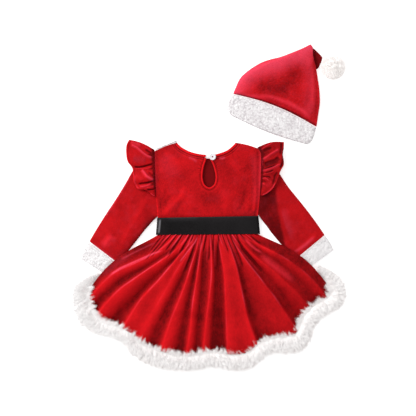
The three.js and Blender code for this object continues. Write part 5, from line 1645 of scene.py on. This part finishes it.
def cord_loop():
    z = BINDING_TOP + 0.3 + 0.7
    bx, by = BUTTON_X, BUTTON_Y
    pts = np.array(
        [
            [-7.2, by - 1.4, z],
            [-3, by - 2.2, z],
            [3, by - 2.5, z],
            [bx, by - 2.6, z],
            [bx + 2.3, by - 1.4, z],
            [bx + 2.3, by + 1.2, z],
            [bx, by + 2.4, z],
            [3, by + 2.3, z],
            [-3, by + 1.9, z],
            [-7.2, by + 1.4, z],
        ]
    )
    rows = {"x": pts[:, 0], "y": pts[:, 1], "z": pts[:, 2]}
    t = np.linspace(0, 1, 120)
    x, y, zz = (column(rows, k, t) for k in ("x", "y", "z"))
    c = np.stack([x, y, zz], -1)
    tan = np.gradient(c, axis=0)
    tan /= np.linalg.norm(tan, axis=1, keepdims=True)
    side = np.stack([-tan[:, 1], tan[:, 0], 0 * t], -1)
    up = np.array([0, 0, 1.0])
    a = np.linspace(0, 2 * np.pi, 13)[:-1]
    s = np.concatenate([[0], np.cumsum(np.linalg.norm(np.diff(c, axis=0), axis=1))])
    # a twisted cord: the strands stand out as it turns
    r = 0.62 + 0.10 * np.cos(2 * (a[None, :] - s[:, None] * 2.2))
    rings = c[:, None, :] + r[..., None] * (np.cos(a)[None, :, None] * side[:, None, :] + np.sin(a)[None, :, None] * up)
    v, f = solid_tube(rings)
    if not facing_out(v, f):
        f = [q[:, ::-1] for q in f]
    return build("button_loop", v, f, M_CORD, ["button_loop"], {"shade": np.full(len(v), 0.5)})


def button():
    """The button, in its shape from the CAD part with a rim, a dished middle and four holes, made white plastic,
    and the thread that crosses its holes."""
    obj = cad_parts["button"]
    obj.data.materials.clear()
    obj.data.materials.append(M_BUTTON)
    z = BINDING_TOP + 0.3 + 2.1 + 3.2 - 0.8 + 0.25
    parts = []
    a = np.linspace(0, 2 * np.pi, 7)[:-1]
    for sx, sy in ((1, 1), (-1, 1)):
        for k in (-0.22, 0.22):
            t = np.linspace(-1, 1, 9)
            x = BUTTON_X + sx * 1.55 * t - sy * k
            y = BUTTON_Y + sy * 1.55 * t + sx * k
            zz = z + 0.28 * (1 - t**4) - 0.45 * (np.abs(t) > 0.95) + (0.25 if sx < 0 else 0)
            ln = math.hypot(sx, sy)
            nx, ny = -sy / ln, sx / ln
            r = 0.24
            rings = np.stack(
                [
                    x[:, None] + nx * r * np.cos(a)[None, :],
                    y[:, None] + ny * r * np.cos(a)[None, :],
                    zz[:, None] + r * np.sin(a)[None, :],
                ],
                -1,
            )
            v, f = solid_tube(rings)
            parts.append((v, f, np.full(len(v), 0.5)))
    v, f, s = joined(parts)
    build("button_thread", v, f, M_STITCH, (), {"shade": s})


COLLAR = table("""
inAcross inUp outAcross outUp
-71 207.5 -117 188.5
-63.5 190.5 -104 152
-40 172.5 -66 118
0 164 0 100
38 173.5 62 118
56.5 190.5 96 152
60 199 107 184
""")


def collar():
    u, v = np.meshgrid(np.linspace(0, 1, 121), np.linspace(0, 1, 31))
    x = mix(column(COLLAR, "inAcross", u), column(COLLAR, "outAcross", u), v)
    y = mix(column(COLLAR, "inUp", u), column(COLLAR, "outUp", u), v)
    z = 2.3 + 0.25 * noise2(x / 3.0, y / 3.0, 81, 2)
    obj = cloth("collar_front", np.stack([x, y, z], -1), 2.2, M_FLEECE, ["collar_front"])
    rng = np.random.RandomState(83)
    n = 900
    s = rng.rand(n)
    px = mix(-70.5, -116, s)
    py = mix(207.2, 188.8, s) + 0.6
    roots = np.stack([px, py, rng.uniform(0.4, 2.4, n)], -1)
    nr = np.tile(np.array([[-0.38, 0.9, 0.2]]), (n, 1))
    nr /= np.linalg.norm(nr, axis=1, keepdims=True)
    pts, f, tip = curls(rng, roots, nr, rng.uniform(1.2, 2.6, n), rng.uniform(0.4, 0.8, n))
    pts[:, 2] = np.maximum(pts[:, 2], 0.1)
    build("collar_pile", pts, f, M_CURL, (), {"tip": tip})
    return obj


# --------------------------------------------------------------------------
# shoulder frills
# --------------------------------------------------------------------------
FRILL_LEFT = table("""
seamAcross seamUp freeAcross freeUp wave bow
-119.0 187.5 -174.4 209.4 10 4
-119.2 176 -180.5 197 2 1.5
-119.0 165 -181 178 1 0
-118.7 155 -177.5 161.5 9 0
-118.4 145 -168 148 1 0
-118.0 136 -166 134 4 0
-117.6 127 -165.5 120 9 0
-117.1 117 -161 108 2 0
-116.6 107 -153.5 100.4 6 0
-116.1 97 -138 98.5 3 0
-115.4 83.5 -123 87 1 0
""")
FRILL_RIGHT = table("""
seamAcross seamUp freeAcross freeUp wave bow
107.5 192.5 166 204.2 10 5.5
114.5 182 165.5 191 3 3
116.0 170 163.5 177 2 1
116.6 160 165.5 163 8 0
116.6 150 165 153 3 0
116.5 141 158.5 141 7 0
116.2 131 153.5 127 2 0
115.8 121 149 115 6 0
115.3 110 142 102 2 0
114.7 99 132 93.5 4 0
114 88 118.5 86 1 0
""")
# Folds of each frill: how high (or deep), how much painted light (or shade), how much painted highlight glints,
# the width to the left and right of its line, and the line's points.
FRILL_FOLDS_LEFT = [
    (3.2, 0.34, 0.50, 3.0, 6.0, [(-170, 199), (-156, 192), (-143, 181), (-133, 174), (-122, 170)]),
    (1.6, 0.16, 0.22, 8.0, 8.0, [(-172, 204), (-160, 200), (-146, 196)]),
    (-1.6, -0.42, 0, 5.0, 4.0, [(-140, 189), (-131, 183), (-124, 178)]),
    (1.2, 0.20, 0.10, 3.0, 3.0, [(-140, 193), (-130, 187), (-122, 181)]),
    (-1.4, -0.30, 0, 3.0, 3.0, [(-134, 179), (-126, 175), (-120, 173)]),
    (0.4, -0.16, 0.10, 14.0, 12.0, [(-168, 168), (-150, 166), (-136, 164)]),
    (-3.6, -0.62, 0, 3.2, 3.4, [(-164, 150), (-152, 149), (-140, 151.5), (-128, 155), (-120, 156)]),
    (1.4, 0.20, 0.10, 3.0, 3.0, [(-162, 146), (-150, 146), (-136, 146), (-124, 149)]),
    (-1.4, -0.30, 0, 2.2, 2.2, [(-132, 144), (-124, 146), (-119, 148)]),
    (3.4, 0.42, 0.55, 4.0, 7.0, [(-147, 145), (-141, 138), (-135, 130), (-126, 124), (-119, 121)]),
    (-1.6, -0.34, 0, 3.0, 3.0, [(-132, 139), (-126, 133), (-120, 128)]),
    (1.0, 0.16, 0.05, 2.4, 2.4, [(-131, 141), (-125, 138), (-119, 138)]),
    (0.6, 0.10, 0.06, 9.0, 9.0, [(-162, 132), (-150, 126), (-142, 120)]),
    (-3.6, -0.66, 0, 3.4, 3.0, [(-155, 112), (-146, 113.5), (-134, 115), (-124, 118), (-118, 118.5)]),
    (2.6, 0.26, 0.30, 3.4, 5.0, [(-152, 107), (-143, 107), (-134, 109), (-124, 113)]),
    (-1.5, -0.30, 0, 1.8, 1.8, [(-130, 111), (-123, 112), (-118, 111)]),
    (1.4, 0.20, 0.12, 2.4, 2.6, [(-138, 103), (-128, 105), (-118, 106)]),
    (-2.6, -0.60, 0, 2.6, 2.6, [(-137, 99), (-129, 99.5), (-122, 100.5), (-117, 102)]),
    (1.6, 0.30, 0.34, 2.2, 2.2, [(-129, 93), (-123, 88), (-117, 84)]),
    (-1.6, -0.46, 0, 2.0, 2.2, [(-122, 92), (-119, 86)]),
    (0.6, 0.26, 0.32, 2.0, 2.0, [(-166, 137), (-162, 128), (-162, 116), (-156, 105), (-151, 101)]),
]
FRILL_FOLDS_RIGHT = [
    (1.6, 0.22, 0.18, 2.4, 3.0, [(114, 186), (122, 192), (132, 198), (142, 202)]),
    (-2.6, -0.40, 0, 5.0, 5.0, [(120, 184), (130, 189), (140, 192)]),
    (0, -0.18, 0, 9.0, 9.0, [(118, 176), (128, 180), (138, 184)]),
    (3.4, 0.34, 0.26, 3.0, 7.0, [(117, 166), (126, 171), (136, 178), (146, 184), (156, 190)]),
    (-3.0, -0.44, 0, 6.0, 12.0, [(122, 156), (134, 160), (146, 164), (156, 172)]),
    (1.4, 0.46, 0.10, 3.0, 3.0, [(118, 167), (119, 158), (120, 148)]),
    (-2.2, -0.34, 0, 2.4, 2.6, [(121, 144), (131, 147.5), (142, 151), (150, 154)]),
    (3.0, 0.34, 0.24, 2.6, 7.0, [(117, 141), (126, 144), (138, 147.5), (150, 153), (160, 157)]),
    (-1.8, -0.34, 0, 3.4, 3.0, [(124, 136), (134, 138), (144, 143)]),
    (1.8, 0.26, 0.10, 2.2, 2.4, [(117, 132), (127, 135), (138, 138), (146, 141)]),
    (-2.2, -0.46, 0, 2.2, 2.2, [(118, 128), (126, 129), (134, 128), (138, 124)]),
    (2.0, 0.30, 0.24, 2.2, 3.0, [(116, 124), (124, 125.5), (130, 123), (134, 118)]),
    (-1.6, -0.34, 0, 2.2, 2.2, [(117, 118), (123, 119), (128, 116)]),
    (1.4, 0.34, 0.14, 3.0, 4.0, [(116, 113), (121, 113), (126, 110)]),
    (0, 0.16, 0.06, 8.0, 8.0, [(124, 108), (134, 112), (140, 120)]),
    (-1.2, -0.36, 0, 4.0, 4.0, [(160, 205), (160, 190), (157, 176)]),
    (-1.2, -0.46, 0, 4.0, 3.0, [(165, 192), (163, 178), (163, 160), (157, 146)]),
    (-1.0, -0.34, 0, 4.0, 4.0, [(152, 140), (146, 130), (144, 120), (140, 110)]),
    (0.7, 0.40, 0.34, 1.8, 1.8, [(117, 87.5), (126, 91), (135, 98), (142, 106), (147, 116)]),
]


def frill(name, rows, folds, seed, base):
    nu, nv = 164, 54
    u, v = np.meshgrid(np.linspace(0, 1, nu + 1), np.linspace(0, 1, nv + 1))
    x = mix(column(rows, "seamAcross", u), column(rows, "freeAcross", u), v)
    y = mix(column(rows, "seamUp", u), column(rows, "freeUp", u), v)
    y = y + column(rows, "bow", u) * np.sin(np.pi * v)
    wave = column(rows, "wave", u)
    z = 8.2 + 4.4 * ease(v / 0.4) + 0.6 * wave * (0.25 + 0.75 * v) + CLOTH
    shade = np.full_like(z, base) + 0.06 * noise2(x / 7.0, y / 7.0, seed, 2) + grain(z.shape, seed, 0.045)
    glint = 0.02 * noise2(x / 6.0, y / 6.0, seed + 5, 2)
    # painted light on the folds' crests, painted shade in their troughs, and painted highlights
    for rise, light, shine, left, right, path in folds:
        form = ridge(x, y, path, 1.0, left, right, 1.5, 5)
        z = z + rise * form
        shade = shade + light * form
        glint = glint + 0.62 * shine * form
    # small uneven gathers at the seam, with painted light on each and painted shade near the seam
    rng = np.random.RandomState(seed)
    for k in range(22):
        c = (k + 0.5) / 22 + rng.uniform(-0.012, 0.012)
        w, h, r = rng.uniform(0.007, 0.014), rng.uniform(0.6, 1.5), rng.uniform(0.08, 0.22)
        t = np.clip(np.abs(u - c) / (w * (1 + v)), 0, 1)
        bump = np.cos(t * np.pi / 2) ** 2 * np.clip(1 - v / r, 0, 1) ** 0.8
        z += h * bump
        shade += 0.22 * bump - 0.05 * np.clip(1 - v / r, 0, 1)
    # the seam is sewn down; the free edge has a narrow turned hem
    z = z - 0.8 * (1 - ease(v / 0.05))
    z += 0.7 * np.exp(-(((v - 0.965) / 0.02) ** 2)) - 0.5 * np.exp(-(((v - 0.915) / 0.02) ** 2))
    # painted light on the hem's roll, painted shade just inside it
    shade += 0.16 * np.exp(-(((v - 0.975) / 0.02) ** 2)) - 0.08 * np.exp(-(((v - 0.915) / 0.02) ** 2))
    z = np.maximum(z, 8.4 + CLOTH)
    # painted shade along the seam
    shade *= mix(0.62, 1.0, ease(v / 0.05))
    return cloth(
        name, np.stack([x, y, z], -1), CLOTH * 0.8, M_VELVET, [name], np.clip(shade, 0, 1), None, 0.35,
        np.clip(glint, 0, 0.6),
    )


def frill_front(name, rows):
    u, v = np.meshgrid(np.linspace(0, 1, 49), np.linspace(0, 1, 15))
    x = mix(column(rows, "seamAcross", u), column(rows, "freeAcross", u), 0.05 + 0.78 * v)
    y = mix(column(rows, "seamUp", u), column(rows, "freeUp", u), 0.05 + 0.78 * v) - 2
    z = 2.1 + 0.12 * np.sin(u * 40) * v
    return cloth(name, np.stack([x, y, z], -1), 2.0, M_VELVET, [name])


# --------------------------------------------------------------------------
# brief (hidden between the skirt's layers)
# --------------------------------------------------------------------------
BRIEF = table("""
up half
4.6 84
-25 84
-55 80
-85 68
-115 50
-140 38
-157 35
""")


def brief(name, low):
    u, v = np.meshgrid(np.linspace(0, 1, 41), np.linspace(0, 1, 41))
    x = -1 + column(BRIEF, "half", v) * (2 * u - 1)
    y = column(BRIEF, "up", v)
    z = low + 1.5 + 0.12 * noise2(x / 12, y / 12, int(low * 10), 2)
    return cloth(name, np.stack([x, y, z], -1), 1.4, M_VELVET, [name])


# --------------------------------------------------------------------------
# hat
# --------------------------------------------------------------------------
CROWN = table("""
leftAcross leftUp rightAcross rightUp crown
54.5 311.5 238.3 238.6 1.6
58.5 321.5 241 256 2.4
68.4 343.2 244 276 3.0
80.3 356.4 246 293 3.2
98 369.6 245.5 311 3.2
117 380.6 244 328 3.2
137 387.5 241.5 345 3.2
160 393 238.5 361.5 3.0
185 402 234.5 377 2.6
206 410.6 230.5 393 1.8
224.6 419.8 229.6 413.5 0.8
""")


def crown_at(u, v):
    bow = 9.5 * np.sin(np.pi * np.clip(u, 0, 1)) * (1 - ease(v / 0.5))
    return (
        mix(column(CROWN, "leftAcross", v), column(CROWN, "rightAcross", v), u) + 0.37 * bow,
        mix(column(CROWN, "leftUp", v), column(CROWN, "rightUp", v), u) + 0.93 * bow,
    )


def tip_lift(v):
    return 8.6 * ease((v - 0.6) / 0.25)


def hat_relief(x, y):
    """The crown stands up a little, more along its left, with a soft roll over the
    band's right half and a fold down its right side."""
    z = ridge(x, y, [(62, 332), (82, 352), (120, 372), (160, 386), (200, 402)], 3.4, 12, 34, 1.5, 18)
    z += ridge(x, y, [(112, 306), (140, 303), (176, 290), (206, 274), (228, 256)], 3.6, 20, 9, 1.5, 22)
    z += ridge(x, y, [(76, 318), (110, 312), (140, 306)], 1.2, 12, 8, 1.8, 16)
    z += ridge(x, y, [(214, 372), (216, 336), (214, 306), (206, 282)], 2.2, 14, 16, 1.7, 24)
    z += ridge(x, y, [(238, 372), (240, 330), (241, 290), (238, 256)], -1.6, 6, 9, 1.6, 16)
    z += ridge(x, y, [(136, 336), (160, 320), (186, 306)], -1.8, 20, 18, 2, 22)
    z += ridge(x, y, [(180, 392), (196, 368), (206, 350)], -0.8, 10, 12, 2, 16)
    return z


def hat():
    nu, nv = 112, 100
    u, v = np.meshgrid(np.linspace(0, 1, nu + 1), np.linspace(0, 1, nv + 1))
    x, y = crown_at(u, v)
    arch = np.sin(np.pi * u) ** 0.75
    edge = ease(np.minimum(u, 1 - u) / 0.05)
    relief = hat_relief(x, y)
    z = 1.2 + tip_lift(v) + CLOTH + 0.6 + column(CROWN, "crown", v) * arch + CLOTH
    z = z + relief * mix(0.35, 1.0, edge) + 3.2 * ease(np.minimum(u, 1 - u) / 0.10) * ease(v / 0.1) * ease((1 - v) / 0.2)
    z = z + 0.3 * noise2(x / 15.0, y / 15.0, 91, 2)
    z = z - 1.2 * (1 - ease(v / 0.03))
    # painted light and shade: lit along the upper left, over the band's right half and down the right side, and dark
    # across the middle
    lit = ridge(x, y, [(40, 296), (60, 334), (86, 358), (118, 373), (152, 383), (196, 400), (232, 422)], 1.0, 18, 44, 1.5, 6)
    lit2 = ridge(x, y, [(70, 306), (104, 306), (140, 303), (176, 290), (206, 274), (228, 254)], 1.0, 9, 8, 1.6, 20)
    lit3 = ridge(x, y, [(220, 400), (226, 350), (230, 320), (228, 290), (220, 256)], 1.0, 12, 28, 1.6, 22)
    dark = ridge(x, y, [(90, 318), (128, 324), (160, 322), (184, 346), (204, 384)], 1.0, 44, 44, 1.2, 30)
    # painted shade in a narrow strip along the seam above the band, where the crown tucks into it, and painted light
    # along the rim on both sides
    seam = np.exp(-(((v - 0.022) / 0.016) ** 2))
    rim = np.exp(-(((u - 0.012) / 0.010) ** 2)) + np.exp(-(((1 - u) / 0.012) ** 2))
    shade = 0.44 + 0.23 * lit + 0.26 * lit2 + 0.12 * lit3 - 0.21 * dark - 0.34 * seam + 0.14 * rim
    # painted shade in strips just above the band
    shade -= 0.22 * ridge(x, y, [(56, 312), (80, 305), (104, 298)], 1.0, 7, 7, 1.8, 8)
    shade -= 0.16 * ridge(x, y, [(120, 292), (170, 276), (220, 250)], 1.0, 5, 6, 1.8, 16)
    shade += 0.07 * noise2(x / 9.0, y / 9.0, 93, 2) + grain(shade.shape, 94, 0.06)
    # painted highlights on the lit parts and the rims, less in the dark middle
    glint = 0.44 * lit + 0.16 * lit2 + 0.13 * lit3 + 0.10 * rim + 0.02
    glint = glint * (1 - 0.75 * dark) + 0.05 * noise2(x / 2.6, y / 2.6, 95, 2)
    cloth(
        "hat_crown_top", np.stack([x, y, z], -1), CLOTH, M_VELVET, ["hat_crown_top"], np.clip(shade, 0, 1),
        None, 0.35, np.clip(glint, 0, 0.6),
    )
    u, v = np.meshgrid(np.linspace(0, 1, 61), np.linspace(0, 1, 61))
    x, y = crown_at(u, v)
    z = 1.2 + tip_lift(v) + CLOTH
    cloth("hat_crown_under", np.stack([x, y, z], -1), CLOTH, M_VELVET, ["hat_crown_under"])
    # the folded tip in the darker copy of the velvet, painted shade, with painted light along its top edge
    tube_piece(
        "hat_tip", HAT_TIP, 40, 64, CLOTH, M_VELVET_SHADED, ["hat_tip"],
        lambda x, y: ridge(x, y, [(236, 404), (244, 384)], 1.2, 5, 5, 2, 5),
        lambda x, y, z: np.clip(0.42 + 0.6 * ridge(x, y, [(226, 417), (237, 407), (251, 391)], 1.0, 3.5, 3.5, 1.7, 3), 0, 1),
    )
    fleece_tube("hat_band", HAT_BAND, 44, 190, ["hat_band"], 101, 15000)


def bobble():
    """A ball of wool: a lumpy heart and hairs all round it."""
    c = np.array([272.6, 368.0, 24.0])
    r = 24.5
    m, n = 40, 64
    th = np.linspace(0.02, np.pi - 0.02, m)
    ph = np.linspace(0, 2 * np.pi, n + 1)[:-1]
    d = np.stack(
        [np.sin(th)[:, None] * np.cos(ph)[None, :], np.sin(th)[:, None] * np.sin(ph)[None, :], np.cos(th)[:, None] + 0 * ph[None, :]],
        -1,
    )
    lump = 1 + 0.03 * noise2(d[..., 0] * 5 + 9, d[..., 1] * 5 + d[..., 2] * 3, 111, 2)
    rings = c + d * (r * lump)[..., None]
    rings[..., 2] = np.maximum(rings[..., 2], 0.3)
    verts, faces = solid_tube(rings)
    if not facing_out(verts, faces):
        faces = [f[:, ::-1] for f in faces]
    build("hat_bobble", verts, faces, M_BOBBLE, ["hat_bobble"], {"tip": np.full(len(verts), 0.6)})
    rng = np.random.RandomState(113)
    count = 15000
    g = rng.normal(0, 1, (count, 3))
    g /= np.linalg.norm(g, axis=1, keepdims=True)
    centres = rng.normal(0, 1, (150, 3))
    centres /= np.linalg.norm(centres, axis=1, keepdims=True)
    near = np.argmax(g @ centres.T, 1)
    lean = centres[near] - g
    dirs = g + 1.7 * lean + rng.normal(0, 0.12, (count, 3))
    dirs /= np.linalg.norm(dirs, axis=1, keepdims=True)
    roots = c + g * (r - 1.0)
    keep = roots[:, 2] > 1.0
    roots, dirs = roots[keep], dirs[keep]
    k = len(roots)
    length = rng.uniform(3.2, 5.6, k)
    bend = rng.normal(0, 0.8, (k, 3))
    pts, f, tip = strands(rng, roots, dirs, length, rng.uniform(0.5, 1.0, k), bend, 2)
    pts[:, 2] = np.maximum(pts[:, 2], 0.15)
    # painted shade on hairs that lean far into their tuft, in the partings between tufts, with a random tone for each
    # tuft
    tone = np.repeat((rng.normal(0, 0.06, 150)[near] - 0.45 * np.linalg.norm(lean, axis=1))[keep], 5)
    build("hat_bobble_pile", pts, f, M_BOBBLE, (), {"tip": np.clip(0.46 + 0.5 * tip + tone, 0, 1)})


# --------------------------------------------------------------------------
# build everything
# --------------------------------------------------------------------------
SKIRT, _ = skirt_back()
SKIRT_FRONT = skirt_front()
BACK = bodice_back()
FRONT = bodice_front()
bindings()
COLLAR_PIECE = collar()
cord_loop()
button()

SLEEVES = [
    tube_piece("sleeve_left", SLEEVE_LEFT, 90, 80, CLOTH, M_VELVET, ["sleeve_left"], sleeve_relief_left, sleeve_shade_left, sleeve_glint_left),
    tube_piece("sleeve_right", SLEEVE_RIGHT, 90, 80, CLOTH, M_VELVET, ["sleeve_right"], sleeve_relief_right, sleeve_shade_right, sleeve_glint_right),
]
fleece_tube("cuff_left", CUFF_LEFT, 34, 110, ["cuff_left"], 121, 9000)
fleece_tube("cuff_right", CUFF_RIGHT, 34, 110, ["cuff_right"], 131, 9000)
FRILLS = [
    # painted shade: the right frill starts darker than the left, as it lies away from the light
    frill("frill_left", FRILL_LEFT, FRILL_FOLDS_LEFT, 141, 0.44),
    frill("frill_right", FRILL_RIGHT, FRILL_FOLDS_RIGHT, 143, 0.31),
    frill_front("frill_left_front", FRILL_LEFT),
    frill_front("frill_right_front", FRILL_RIGHT),
]
BELT = tube_piece("waist_band", BAND, 36, 180, 1.2, M_SATIN, ["waist_band"], belt_relief, None, belt_glint)
BRIEFS = [brief("brief_front", 4.9), brief("brief_back", 6.8)]

fur_base("fur_hem_front", False, ["fur_hem_front"])
fur_base("fur_hem_back", True, ["fur_hem_back"])
hem_fur("fur_pile_left", 201, 28000, (0.0, 0.335))
hem_fur("fur_pile_middle", 203, 28000, (0.335, 0.665))
hem_fur("fur_pile_right", 205, 28000, (0.665, 1.0))
hem_fur("fur_pile_under", 207, 11000, (0.0, 1.0), low=True)
hat()
bobble()
